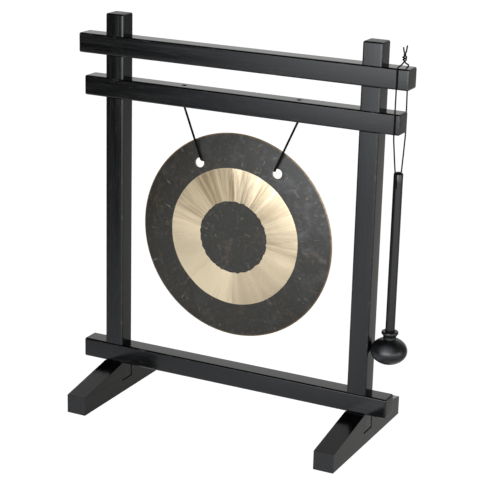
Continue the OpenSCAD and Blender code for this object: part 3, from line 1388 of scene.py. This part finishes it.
    def opened(
        self, bm: bmesh.types.BMesh, at: Vector, radius: float
    ) -> list[bmesh.types.BMEdge]:
        """Open the square patch at a point into a round hole.

        Args:
            bm: the bar.
            at: the hole's middle.
            radius: the hole's radius.

        Returns:
            The hole's edges.
        """
        patch = min(bm.faces, key=lambda f: (f.calc_center_median() - at).length)
        border = list(patch.edges)
        bmesh.ops.delete(bm, geom=[patch], context="FACES_ONLY")
        split = bmesh.ops.subdivide_edges(bm, edges=border, cuts=self.hole_sides // 4 - 1)
        square = {
            g: None
            for g in split["geom_inner"] + split["geom"]
            if isinstance(g, bmesh.types.BMEdge) and g.is_boundary
        }
        edges = edges_between(circle(bm, radius, self.hole_sides, Matrix.Translation(at)))
        bmesh.ops.bridge_loops(bm, edges=list(square) + edges)
        return edges

    def screws(self, name: str) -> bpy.types.Object:
        """Return the heads of one set of screws, each with a six-sided socket.

        Args:
            name: the set's CAD node.

        Returns:
            The dressed heads.
        """
        bm = bmesh.new()
        flat = TURN / self.socket_flats
        for place, facing in self.screw_places(name):
            head = Matrix.Translation(place) @ facing
            rim = edges_between(circle(bm, self.screw_head, self.screw_sides, head))
            well = circle(bm, self.socket, self.screw_sides, head)
            for vert in well:
                local = head.inverted() @ vert.co
                turn = math.atan2(local.y, local.x) % flat - flat / 2
                vert.co = head @ (local * (math.cos(flat / 2) / math.cos(turn)))
            mouth = edges_between(well)
            bmesh.ops.bridge_loops(bm, edges=mouth + rim)
            inward = head.to_3x3() @ Vector((0, 0, -1))
            for start, depth in ((mouth, self.socket_depth), (rim, self.screw_rim)):
                deep = pulled(bm, start, inward * depth)
                bmesh.ops.holes_fill(bm, edges=edges_between(deep), sides=0)
        piece = finished(bm, f"{name}_heads", BlackedSteel("blacked_steel").material())
        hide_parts(name)
        return piece

    def screw_places(self, name: str) -> list[tuple[Vector, Matrix]]:
        """Return where each screw head of a set sits.

        Args:
            name: the set's CAD node.

        Returns:
            The middle of each head and the turn that faces it.
        """
        places = []
        for post in self.posts:
            low, high = node_box(post)
            x = middle((low, high)).x
            if name == "foot_screws":
                foot_low, _ = node_box(name)
                places.append((Vector((x, 0.0, foot_low.z)), Matrix.Rotation(math.pi, 4, "X")))
                continue
            for bar in self.bars:
                z = middle(node_box(bar)).z
                places.append((Vector((x, high.y, z)), Matrix.Rotation(-math.pi / 2, 4, "X")))
        return places

    def pads(self) -> bpy.types.Object:
        """Return the four pads under the feet.

        Returns:
            The dressed pads, as one piece.
        """
        low, high = node_box("foot_pads")
        bm = bmesh.new()
        for foot in self.feet:
            x = middle(node_box(foot)).x
            for y in (low.y + self.pad_radius, high.y - self.pad_radius):
                place = Matrix.Translation(Vector((x, y, low.z)))
                made = circle(bm, self.pad_radius, self.pad_sides, place, filled=True)
                face = next(iter(made[0].link_faces))
                grown = bmesh.ops.extrude_face_region(bm, geom=[face], use_keep_orig=True)["geom"]
                bmesh.ops.translate(bm, vec=(0, 0, high.z - low.z), verts=only_verts(grown))
        finish = Moulding("pad_rubber", pebble=1400.0, rough=0.7, relief=0.3)
        piece = finished(bm, "foot_pads_rubber", finish.material())
        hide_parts("foot_pads")
        return piece


# ---- gong and its cord ----


@dataclass
class Gong:
    """A dished disc that bulges to the front, with two cord holes."""

    body: str = "gong_disc"
    radius: float = 125 * MM
    depth: float = 7.7 * MM
    wall: float = 1.3 * MM
    power: float = 3.5
    rim_y: float = 4.5 * MM
    hole: float = 5.75 * MM
    hole_x: float = 51.0 * MM
    hole_up: float = 84.5 * MM
    hole_clear: float = 0.6 * MM
    rings: int = 44
    steps: int = 192
    hole_sides: int = 48
    edge: float = 0.3 * MM
    weld: float = 0.01 * MM
    crisp: float = math.radians(50.0)
    centre: Vector = field(default_factory=lambda: middle(node_box("gong")))

    def dish(self, r: float) -> float:
        """Return how far the front stands before the rim at a radius."""
        return self.depth * (1.0 - (r / self.radius) ** self.power)

    def build(self) -> bpy.types.Object:
        """Build the gong.

        Returns:
            The disc, dressed and riding on its body.
        """
        bm = self.disc()
        mark = bm.faces.layers.float.new("bare_edge")
        bm.normal_update()
        sharp = [e for e in bm.edges if e.calc_face_angle(0.0) > self.crisp]
        rounded = bmesh.ops.bevel(
            bm, geom=sharp, offset=self.edge, segments=2, profile=0.5, affect="EDGES", material=-1
        )["faces"]
        for face in rounded:
            face[mark] = 1.0
        for face in bm.faces:
            if abs(face.normal.y) < 0.5:
                face[mark] = 1.0
        finish = GongMetal("fired_bronze", (self.centre.x, self.centre.z), self.radius)
        piece = finished(bm, "gong_disc_metal", finish.material(), sharp=40.0)
        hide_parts("gong")
        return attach(piece, self.body)

    def disc(self) -> bmesh.types.BMesh:
        """Return the dished disc with its wall and its two holes.

        Returns:
            The shape, with crisp edges.
        """
        bm = bmesh.new()
        axle = Vector((self.centre.x, self.rim_y, self.centre.z))
        radii = [self.radius * (i / self.rings) for i in range(self.rings + 1)]
        verts = [bm.verts.new(axle + Vector((r, -self.dish(r), 0.0))) for r in radii]
        chain = [bm.edges.new(pair) for pair in zip(verts, verts[1:])]
        bmesh.ops.spin(
            bm,
            geom=verts + chain,
            cent=axle,
            axis=(0, -1, 0),
            angle=TURN,
            steps=self.steps,
            use_merge=True,
        )
        bmesh.ops.remove_doubles(bm, verts=bm.verts, dist=self.weld)
        for side in (-1.0, 1.0):
            self.open_hole(bm, side)
        bmesh.ops.recalc_face_normals(bm, faces=bm.faces)
        front = max(bm.faces, key=lambda f: -f.calc_center_median().y)
        if front.normal.y > 0:
            bmesh.ops.reverse_faces(bm, faces=bm.faces)
        bmesh.ops.solidify(bm, geom=list(bm.faces), thickness=self.wall)
        return bm

    def open_hole(self, bm: bmesh.types.BMesh, side: float) -> None:
        """Cut one cord hole and tie its round edge into the disc.

        Args:
            bm: the disc, before it has a wall.
            side: -1 for the left hole and 1 for the right.
        """
        across = self.centre.x + GONG_CORD_OFF + side * self.hole_x
        at = Vector((across, 0.0, self.centre.z + self.hole_up))

        def apart(vert: bmesh.types.BMVert) -> float:
            """Return a vertex's distance from the hole's middle, seen from the front."""
            return math.hypot(vert.co.x - at.x, vert.co.z - at.z)

        clear, reach = self.hole + self.hole_clear, 4 * self.hole
        near = [f for f in bm.faces if min(apart(v) for v in f.verts) < clear]
        bmesh.ops.delete(bm, geom=near, context="FACES")
        border = [e for e in bm.edges if e.is_boundary and max(apart(v) for v in e.verts) < reach]
        facing = Matrix.Translation(at) @ Matrix.Rotation(math.pi / 2, 4, "X")
        ring = circle(bm, self.hole, self.hole_sides, facing)
        for vert in ring:
            r = math.hypot(vert.co.x - self.centre.x, vert.co.z - self.centre.z)
            vert.co.y = self.rim_y - self.dish(r)
        bmesh.ops.bridge_loops(bm, edges=border + edges_between(ring))


@dataclass
class GongCord:
    """One cord: knotted over the bar, down to the gong, across its back and up again.

    The points of its route are in millimetres, mirrored about the middle of the
    bar's two holes above the gong, and about the middle of the gong's own below.
    """

    diameter: float = 2.6 * MM
    hang_x: float = field(default_factory=lambda: middle(node_box("gong")).x)
    hole_x: float = 74.6 * MM
    bar_under: float = 377 * MM
    turn_top: float = 321 * MM
    turn_foot: float = 314 * MM
    sides: int = 14
    spacing: float = 1.6 * MM
    above: tuple[Point, ...] = ((74.6, 0.0, 377.2),)
    below: tuple[Point, ...] = (
        (49.6, -1.5, 317.6),
        (48.7, -1.5, 315.4),
        (48.3, -0.7, 314.4),
        (47.6, 0.7, 313.7),
        (46.1, 2.1, 313.3),
        (43.5, 2.8, 313.2),
        (36.0, 3.0, 313.2),
        (18.0, 3.0, 313.2),
    )
    behind: Point = (0.0, 3.0, 313.2)
    knot_lift: float = 399.2 * MM
    knot_sides: int = 10
    knot_spacing: float = 0.7 * MM
    knot_slack: float = 0.92
    knot_steps: int = 14
    knot_round: int = 8
    knot_reach: float = 1.55 * MM
    knot_low: float = -1.1 * MM
    knot_rise: float = 2.1 * MM
    stub: tuple[float, ...] = (-21.2 * MM, -8.0 * MM, -3.0 * MM)
    tip: Point = (0.2 * MM, 0.2 * MM, 1.9 * MM)

    def route(self) -> list[Vector]:
        """Lay the cord's route.

        Returns:
            The points that it follows from one bar hole to the other.
        """
        bar_x = Vector((self.hang_x + BAR_CORD_OFF, 0.0, 0.0))
        gong_x = Vector((self.hang_x + GONG_CORD_OFF, 0.0, 0.0))

        def side(sign: float) -> list[Vector]:
            """Return one side's points, from the bar down to the gong's back."""
            top = [bar_x + Vector((sign * x, y, z)) * MM for x, y, z in self.above]
            return top + [gong_x + Vector((sign * x, y, z)) * MM for x, y, z in self.below]

        return [*side(-1.0), gong_x + Vector(self.behind) * MM, *reversed(side(1.0))]

    def finish(self) -> bpy.types.Material:
        """Return the black braid."""
        return Braid("black_braid").material()

    def build(self) -> list[bpy.types.Object]:
        """Returns:
            The cord and its two knots, dressed.
        """
        path = smooth_path(self.route(), self.spacing)
        bm = bmesh.new()
        sweep(bm, path, self.diameter / 2, self.sides)
        cord = finished(bm, "gong_cord_run", self.finish())
        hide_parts("gong_cord_strands", "gong_cord_back")
        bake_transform(cord)
        knots = self.knots()
        round(path_length(path), 4)
        return [cord, knots]

    def knots(self) -> bpy.types.Object:
        """Return the knots in the bar's pockets, each with its stub of cord below.

        Returns:
            Both knots, dressed and riding on the stand.
        """
        bm = bmesh.new()
        radius = self.diameter / 2 * self.knot_slack
        for side in (-1.0, 1.0):
            across = self.hang_x + BAR_CORD_OFF + side * self.hole_x
            points = [Vector((0.0, 0.0, drop)) for drop in self.stub]
            for step in range(self.knot_steps + 1):
                turn = TURN * step / self.knot_round
                reach = self.knot_reach * (1.0 if 0 < step < self.knot_steps else 0.5)
                lift = self.knot_low + self.knot_rise * step / self.knot_steps
                turned = (reach * math.cos(turn), side * reach * math.sin(turn), lift)
                points.append(Vector(turned))
            points.append(Vector(self.tip))
            shift = Vector((across, 0.0, self.knot_lift))
            path = smooth_path([shift + p for p in points], self.knot_spacing)
            sweep(bm, path, radius, self.knot_sides)
        piece = finished(bm, "gong_cord_knots_tied", self.finish())
        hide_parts("gong_cord_knots")
        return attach(piece, "stand")


# ---- mallet and its cord ----


@dataclass
class MalletCord:
    """One thin cord, tied over the upper bar's end and passed through the handle."""
    """One thin cord, tied over the upper bar's end and passed through the handle.

    over, down and closing are its heights behind and before the bar, as pairs of
    millimetres from the bar's middle and from the floor; before and behind are how
    far each of those points hangs to the right, in millimetres.
    """

    diameter: float = 1.7 * MM
    sides: int = 10
    spacing: float = 1.1 * MM
    exit_z: float = 458.5 * MM
    turn_top: float = 431 * MM
    turn_foot: float = 421 * MM
    cross_z: float = 317.0 * MM
    through: tuple[float, ...] = (-5.2, 0.0, 5.2)
    over: tuple[Span, ...] = (
        (1.5, 457.6),
        (5.0, 455.6),
        (9.0, 454.0),
        (11.6, 453.3),
        (12.7, 452.4),
        (13.0, 451.0),
    )
    down: tuple[Span, ...] = (
        (13.0, 440.0),
        (13.0, 428.0),
        (13.0, 412.0),
        (13.0, 394.0),
        (13.0, 378.0),
    )
    closing: tuple[Span, ...] = (
        (12.7, 372.0),
        (12.1, 366.0),
        (10.3, 350.0),
        (8.5, 334.0),
        (7.2, 322.5),
        (6.4, 318.4),
    )
    before: tuple[float, ...] = (
        *(-0.4, -1.2, -2.2, -2.8, -2.9),
        *(-3.0,) * 6,
        *(-2.9, -2.6, -1.8, -0.8, -0.2, 0.0),
    )
    behind: tuple[float, ...] = (*(0.0,) * 8, *(0.2, 0.5, 0.8, 0.8, 0.7, 0.5, 0.2, 0.1, 0.0))
    front_tip: Point = (-2.2, 0.5, 474.0)
    back_tip: Point = (2.8, -1.0, 476.5)
    knot_turns: float = 1.25
    knot_steps: int = 10
    knot_core: float = 0.9
    knot_belly: float = 1.3
    knot_foot: float = 458.6
    knot_height: float = 7.0
    ends_part: float = 0.45
    ends_from: float = 468.5
    x: float = field(default_factory=lambda: middle(node_box("mallet_handle")).x)

    def half(self, side: float) -> list[Vector]:
        """Return the points from the knot's foot down to the handle.

        Args:
            side: -1 before the bars and 1 behind them.

        Returns:
            The points, from the top.
        """
        leans = self.before if side < 0 else self.behind
        return [
            Vector((self.x + lean * MM, side * y * MM, z * MM))
            for lean, (y, z) in zip(leans, self.over + self.down + self.closing)
        ]

    def knot(self, side: float, tip: Point) -> list[Vector]:
        """Return one cord's turns in the knot.

        Args:
            side: -1 for the front cord and 1 for the back one.
            tip: its free end, in millimetres from the knot's middle and the floor.

        Returns:
            The points from the loop up to the free tip.
        """
        points = []
        for step in range(self.knot_steps + 1):
            share = step / self.knot_steps
            turn = TURN * self.knot_turns * share + (0.0 if side > 0 else math.pi) + math.pi / 2
            reach = (self.knot_core + self.knot_belly * math.sin(math.pi * share)) * MM
            lift = (self.knot_foot + self.knot_height * share) * MM
            points.append(Vector((self.x + reach * math.cos(turn), reach * math.sin(turn), lift)))
        x, y, z = tip
        part = self.ends_part * MM
        points.append(Vector((self.x + x * part, y * part, self.ends_from * MM)))
        points.append(Vector((self.x + x * MM, y * MM, z * MM)))
        return points

    def route(self) -> list[Vector]:
        """Lay the cord's route.

        Returns:
            The points that it follows from one free tip to the other.
        """
        front = [*reversed(self.knot(-1.0, self.front_tip)), *self.half(-1.0)]
        back = [*self.half(1.0)[::-1], *self.knot(1.0, self.back_tip)]
        through = [Vector((self.x, y * MM, self.cross_z)) for y in self.through]
        return [*front, *through, *back]

    def finish(self) -> bpy.types.Material:
        """Return the brown twine, twisted from two strands."""
        # The darker colour is painted shade in the twine's hollows.
        dark, light = (0.003, 0.0022, 0.0018), (0.020, 0.012, 0.009)
        return Braid("brown_twine", dark, light, 2.0, 2.6 * MM, crossed=False).material()

    def build(self) -> bpy.types.Object:
        """Returns:
            The cord, dressed.
        """
        path = smooth_path(self.route(), self.spacing)
        bm = bmesh.new()
        sweep(bm, path, self.diameter / 2, self.sides)
        piece = finished(bm, "mallet_cord_run", self.finish())
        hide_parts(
            "mallet_cord_loop", "mallet_cord_knot", "mallet_cord_strands", "mallet_cord_eye"
        )
        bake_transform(piece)
        round(path_length(path), 4)
        return piece


@dataclass
class Mallet:
    """A dowel with a domed top and a cross hole, in a moulded rubber head."""

    body: str = "mallet"
    dome: float = 3.0 * MM
    cross_z: float = 317 * MM
    cross_hole: float = 1.2 * MM
    cross_sides: int = 16
    handle_sides: int = 64
    head_sides: int = 96
    ball_height: float = 32 * MM
    waist: float = 7.6 * MM
    neck: float = 9.8 * MM
    seam: float = 0.12 * MM
    end_ease: float = 0.5 * MM
    # Heights of the dowel's plain rings, and of those about its cross hole.
    plain_rings: tuple[float, ...] = (0.15, 0.2, 0.25, 0.3)
    hole_rings: tuple[float, ...] = (-4.0, -2.4, -0.8, 0.8, 2.4, 4.0)
    dome_steps: int = 7
    hole_near: float = 1.75 * MM
    hole_border: float = 4.0 * MM
    ball_steps: int = 30
    seam_band: float = 0.5 * MM
    # The seam: how far each ring is sunk, in seam depths, and its height in millimetres.
    seam_rings: tuple[Span, ...] = (
        (1.0, -0.45),
        (1.0, -0.2),
        (0.0, -0.1),
        (0.0, 0.1),
        (1.0, 0.2),
        (1.0, 0.45),
    )
    # The neck, from the waist up and over its lip, as millimetres past the waist or
    # the neck's radius and millimetres below the top.
    waist_rings: tuple[Span, ...] = ((-0.1, 7.0), (0.2, 5.6))
    neck_rings: tuple[Span, ...] = (
        (-0.9, 3.9),
        (-0.1, 3.1),
        (0.0, 2.4),
        (0.0, 1.0),
        (-0.3, 0.35),
        (-1.0, 0.0),
    )
    # The socket for the dowel, as a radius and a depth below the top in millimetres.
    socket_rings: tuple[Span, ...] = (
        (6.4, 0.0),
        (5.8, 0.3),
        (5.55, 0.9),
        (5.55, 12.0),
        (0.0, 12.0),
    )
    # Where the painted highlight sits on the ball: right of its middle, back from its front and up
    # from its middle.
    painted_highlight_off: Point = (4.0 * MM, 2.5 * MM, 2.5 * MM)

    def build(self) -> list[bpy.types.Object]:
        """Build the mallet.

        Returns:
            The handle and the head, dressed and riding on the mallet's body.
        """
        made = [self.handle(), self.head()]
        for piece in made:
            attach(piece, self.body)
        return made

    def handle(self) -> bpy.types.Object:
        """Turn the dowel, with its dome and its cross hole.

        Returns:
            The dressed dowel.
        """
        low, high = node_box("mallet_handle")
        at = middle((low, high))
        r = (high.x - low.x) / 2
        shoulder = high.z - self.dome
        profile = [(0.0, low.z), (r * 0.9, low.z), (r, low.z + self.end_ease)]
        profile += [(r, z) for z in self.plain_rings]
        profile += [(r, self.cross_z + step * MM) for step in self.hole_rings]
        for step in range(self.dome_steps + 1):
            turn = math.radians(90.0 * step / self.dome_steps)
            profile.append((r * math.cos(turn), shoulder + self.dome * math.sin(turn)))
        bm = bmesh.new()
        spun(bm, profile, Vector((at.x, at.y, 0.0)), self.handle_sides)
        loops = [self.open_side(bm, at, r, side) for side in (-1.0, 1.0)]
        bmesh.ops.bridge_loops(bm, edges=loops[0] + loops[1])
        black, dull = (0.003, 0.003, 0.0033), (0.008, 0.008, 0.008)
        finish = StainedTimber("blacked_dowel", Grain.ALONG_Z, 12.3, black, dull)
        for name in ("arris", "end_grain"):
            bm.faces.layers.float.new(name)
        piece = finished(bm, "mallet_handle_dowel", finish.material(), sharp=50.0)
        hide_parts("mallet_handle")
        return piece

    def open_side(
        self, bm: bmesh.types.BMesh, at: Vector, r: float, side: float
    ) -> list[bmesh.types.BMEdge]:
        """Open one mouth of the cross hole in the dowel's wall.

        Args:
            bm: the dowel.
            at: its middle.
            r: its radius.
            side: -1 for the front mouth and 1 for the back one.

        Returns:
            The mouth's edges.
        """
        mouth = Vector((at.x, at.y + side * r, self.cross_z))
        near = [f for f in bm.faces if (f.calc_center_median() - mouth).length < self.hole_near]
        bmesh.ops.delete(bm, geom=near, context="FACES")
        border = open_loop(bm, mouth, self.hole_border)
        facing = Matrix.Translation(mouth) @ Matrix.Rotation(math.pi / 2, 4, "X")
        ring = circle(bm, self.cross_hole, self.cross_sides, facing)
        for vert in ring:
            vert.co.y = at.y + side * math.sqrt(r * r - (vert.co.x - at.x) ** 2)
        edges = edges_between(ring)
        bmesh.ops.bridge_loops(bm, edges=border + edges)
        return edges

    def head_profile(self, r: float, low: float, top: float) -> list[tuple[float, float]]:
        """Return half of the head's outline: ball, seam, waist, flared neck and socket.

        Args:
            r: the ball's radius.
            low: the height of its foot.
            top: the height of the neck's lip.

        Returns:
            Pairs of radius and height, from the foot.
        """
        half = self.ball_height / 2
        mid = low + half
        stop = math.acos(self.waist / r) + math.pi / 2
        ball = [(0.0, low)]
        for i in range(1, self.ball_steps + 1):
            turn = -math.pi / 2 + stop * i / self.ball_steps
            ball.append((r * math.cos(turn), mid + half * math.sin(turn)))
        return [
            *[p for p in ball if p[1] < mid - self.seam_band],
            *[(r - self.seam * sunk, mid + lift * MM) for sunk, lift in self.seam_rings],
            *[p for p in ball if p[1] > mid + self.seam_band],
            *[(self.waist + past * MM, top - down * MM) for past, down in self.waist_rings],
            *[(self.neck + past * MM, top - down * MM) for past, down in self.neck_rings],
            *[(reach * MM, top - down * MM) for reach, down in self.socket_rings],
        ]

    def head(self) -> bpy.types.Object:
        """Mould the rubber head: a flattened ball with a seam line and a flared neck.

        Returns:
            The dressed head.
        """
        low, high = node_box("mallet_head")
        at = middle((low, high))
        bm = bmesh.new()
        profile = self.head_profile((high.x - low.x) / 2, low.z, high.z)
        spun(bm, profile, Vector((at.x, at.y, 0.0)), self.head_sides)
        # The ball carries a painted highlight on its front.
        right, back, up = self.painted_highlight_off
        finish = Moulding(
            "moulded_rubber",
            (0.005, 0.005, 0.0055),
            (0.100, 0.102, 0.107),
            rough=0.28,
            sheen=0.50,
            painted_highlight_at=(at.x + right, low.y + back, at.z + up),
            painted_highlight_size=13.0 * MM,
        )
        piece = finished(bm, "mallet_head_rubber", finish.material(), sharp=50.0)
        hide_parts("mallet_head")
        return piece


# ---- studio ----


@dataclass
class Studio:
    """A pale floor, soft light and the camera."""

    camera_at: Vector = field(default_factory=lambda: Vector((0.8219, -1.6495, 0.7833)))
    look_at: Vector = field(default_factory=lambda: Vector((-0.0016, 0.0003, 0.2229)))
    roll: float = math.radians(1.43)
    lens: float = 121.67
    sensor: float = 36.0
    floor_size: float = 40.0
    key_power: float = 52.0
    key_size: Span = (2.7, 1.8)
    key_colour: Colour = (0.93, 0.97, 1.0)
    key_right: float = math.radians(7.0)
    key_up: float = math.radians(8.0)
    key_away: float = 3.2
    key_aim: Point = (0.0, 0.0, 0.25)
    floor_grey: float = 0.45
    floor_glow: float = 0.96
    backdrop: float = 1.05
    cool: Colour = (0.94, 0.97, 1.02)
    plain: Colour = (1.0, 1.0, 0.99)
    warm: Colour = (1.0, 0.985, 0.95)
    # The room's light, by degrees of height and azimuth between which it comes and goes.
    faint: float = 0.01
    wall_glow: float = 0.80
    wall_height: Sector = (-90.0, 24.0, 40.0)
    near_glow: float = 0.72
    near_depth: Span = (13.5, 21.0)
    near_end: Span = (-24.0, -20.0)
    near_fade: float = 0.45
    open_azimuth: Span = (-29.5, -22.0)
    open_height: Sector = (-19.0, 8.0, 5.0)
    open_low: float = 0.80
    open_rise: float = 2.4
    open_span: Span = (-17.5, -7.0)
    # The back right is dimmed by this much, and by more above and below.
    dim: float = 0.45
    dim_above: float = 0.35
    dim_above_span: Span = (-14.0, -9.0)
    dim_below: float = 0.2
    dim_below_span: Span = (17.0, 24.0)
    turn_back: Span = (-0.1, 0.45)
    turn_right: Span = (0.1, 0.45)

    def build(self) -> None:
        """Set up the floor, the light and the camera."""
        self.make_floor()
        self.make_sky()
        self.make_key()
        self.make_camera()
        view = bpy.context.scene.view_settings
        view.view_transform = "Standard"
        view.look = "None"

    def make_floor(self) -> None:
        """Make the plain pale floor, which glows a little so that shadows stay faint."""
        bm = bmesh.new()
        bmesh.ops.create_grid(bm, x_segments=1, y_segments=1, size=self.floor_size / 2)
        made = bpy.data.materials.new("pale_floor")
        made.use_nodes = True
        net = Net(made.node_tree)
        shader = net.node(
            "ShaderNodeBsdfPrincipled",
            None,
            {
                "Base Color": (self.floor_grey,) * 3,
                "Roughness": 1.0,
                "Specular IOR Level": 0.0,
                "Emission Color": (1.0, 1.0, 1.0),
                "Emission Strength": self.floor_glow,
            },
        )
        net.node("ShaderNodeOutputMaterial", None, {"Surface": shader.outputs[0]})
        floor = finished(bm, "floor", made)
        floor.visible_glossy = False

    def make_sky(self) -> None:
        """Make the soft room light: bright behind, dark overhead and at the front left.

        Azimuth is in degrees to the right of straight ahead of the gong, and height
        in degrees above level.
        """
        world = bpy.data.worlds.new("soft room")
        world.use_nodes = True
        bpy.context.scene.world = world
        net = Net(world.node_tree)
        x, y, z = net.split(net.node("ShaderNodeTexCoord").outputs["Generated"])
        azimuth = net.math("ARCTAN2", x, -y) * (360.0 / TURN)
        height = net.math("ARCSINE", z) * (360.0 / TURN)
        back = net.smooth(y, *self.turn_back)
        front = 1.0 - back
        right = net.smooth(x, *self.turn_right) * back
        dim = self.dim + net.smooth(height, *self.dim_above_span) * self.dim_above
        dim = dim + net.smooth(-height, *self.dim_below_span) * self.dim_below
        wall = back * net.window(height, *self.wall_height) * self.wall_glow
        wall = wall * (1.0 - right * dim)
        near_floor = front * net.smooth(-height, *self.near_depth) * self.near_glow
        near_floor = near_floor * (1.0 - net.smooth(azimuth, *self.near_end) * self.near_fade)
        open_right = front * net.smooth(azimuth, *self.open_azimuth)
        open_right = open_right * net.window(height, *self.open_height)
        glow = self.open_low + net.smooth(height, *self.open_span) * self.open_rise
        total = wall + near_floor + open_right * glow + self.faint
        shade = net.mix(right, net.mix(back, self.cool, self.plain), self.warm)
        room = net.node("ShaderNodeBackground", None, {"Color": shade, "Strength": total})
        backdrop = {"Color": (1.0, 1.0, 1.0), "Strength": self.backdrop}
        white = net.node("ShaderNodeBackground", None, backdrop)
        seen = net.node("ShaderNodeLightPath").outputs["Is Camera Ray"]
        inputs = {0: seen, 1: room.outputs[0], 2: white.outputs[0]}
        both = net.node("ShaderNodeMixShader", None, inputs)
        net.node("ShaderNodeOutputWorld", None, {"Surface": both.outputs[0]})

    def make_key(self) -> None:
        """Hang one large softbox in front, a little above the gong."""
        lamp = bpy.data.lights.new("softbox", "AREA")
        lamp.shape = "RECTANGLE"
        lamp.size, lamp.size_y = self.key_size
        lamp.energy = self.key_power
        lamp.color = self.key_colour
        made = bpy.data.objects.new("softbox", lamp)
        bpy.context.scene.collection.objects.link(made)
        level = math.cos(self.key_up)
        east, south = math.sin(self.key_right) * level, math.cos(self.key_right) * level
        out = Vector((east, -south, math.sin(self.key_up)))
        made.location = Vector(self.key_aim) + out * self.key_away
        made.rotation_euler = out.to_track_quat("Z", "Y").to_euler()
        made.visible_camera = False

    def make_camera(self) -> None:
        """Put the camera in place, level but for a slight roll."""
        data = bpy.data.cameras.new("camera")
        data.lens = self.lens
        data.sensor_width = self.sensor
        made = bpy.data.objects.new("camera", data)
        bpy.context.scene.collection.objects.link(made)
        back = (self.camera_at - self.look_at).normalized()
        turn = back.to_track_quat("Z", "Y").to_matrix().to_4x4()
        made.matrix_world = (
            Matrix.Translation(self.camera_at) @ turn @ Matrix.Rotation(self.roll, 4, "Z")
        )
        bpy.context.scene.camera = made


def main() -> None:
    """Build every sub-assembly in order and report its pieces."""
    logging.basicConfig(level=logging.INFO, format="%(name)s: %(message)s")
    Studio().build()
    made = [*GongCord().build(), MalletCord().build()]
    made += Stand().build()
    made.append(Gong().build())
    made += Mallet().build()
    bpy.context.view_layer.update()
    for piece in made:
        LOG.info("%s: %d faces", piece.name, len(piece.data.polygons))


if __name__ == "__main__":
    main()
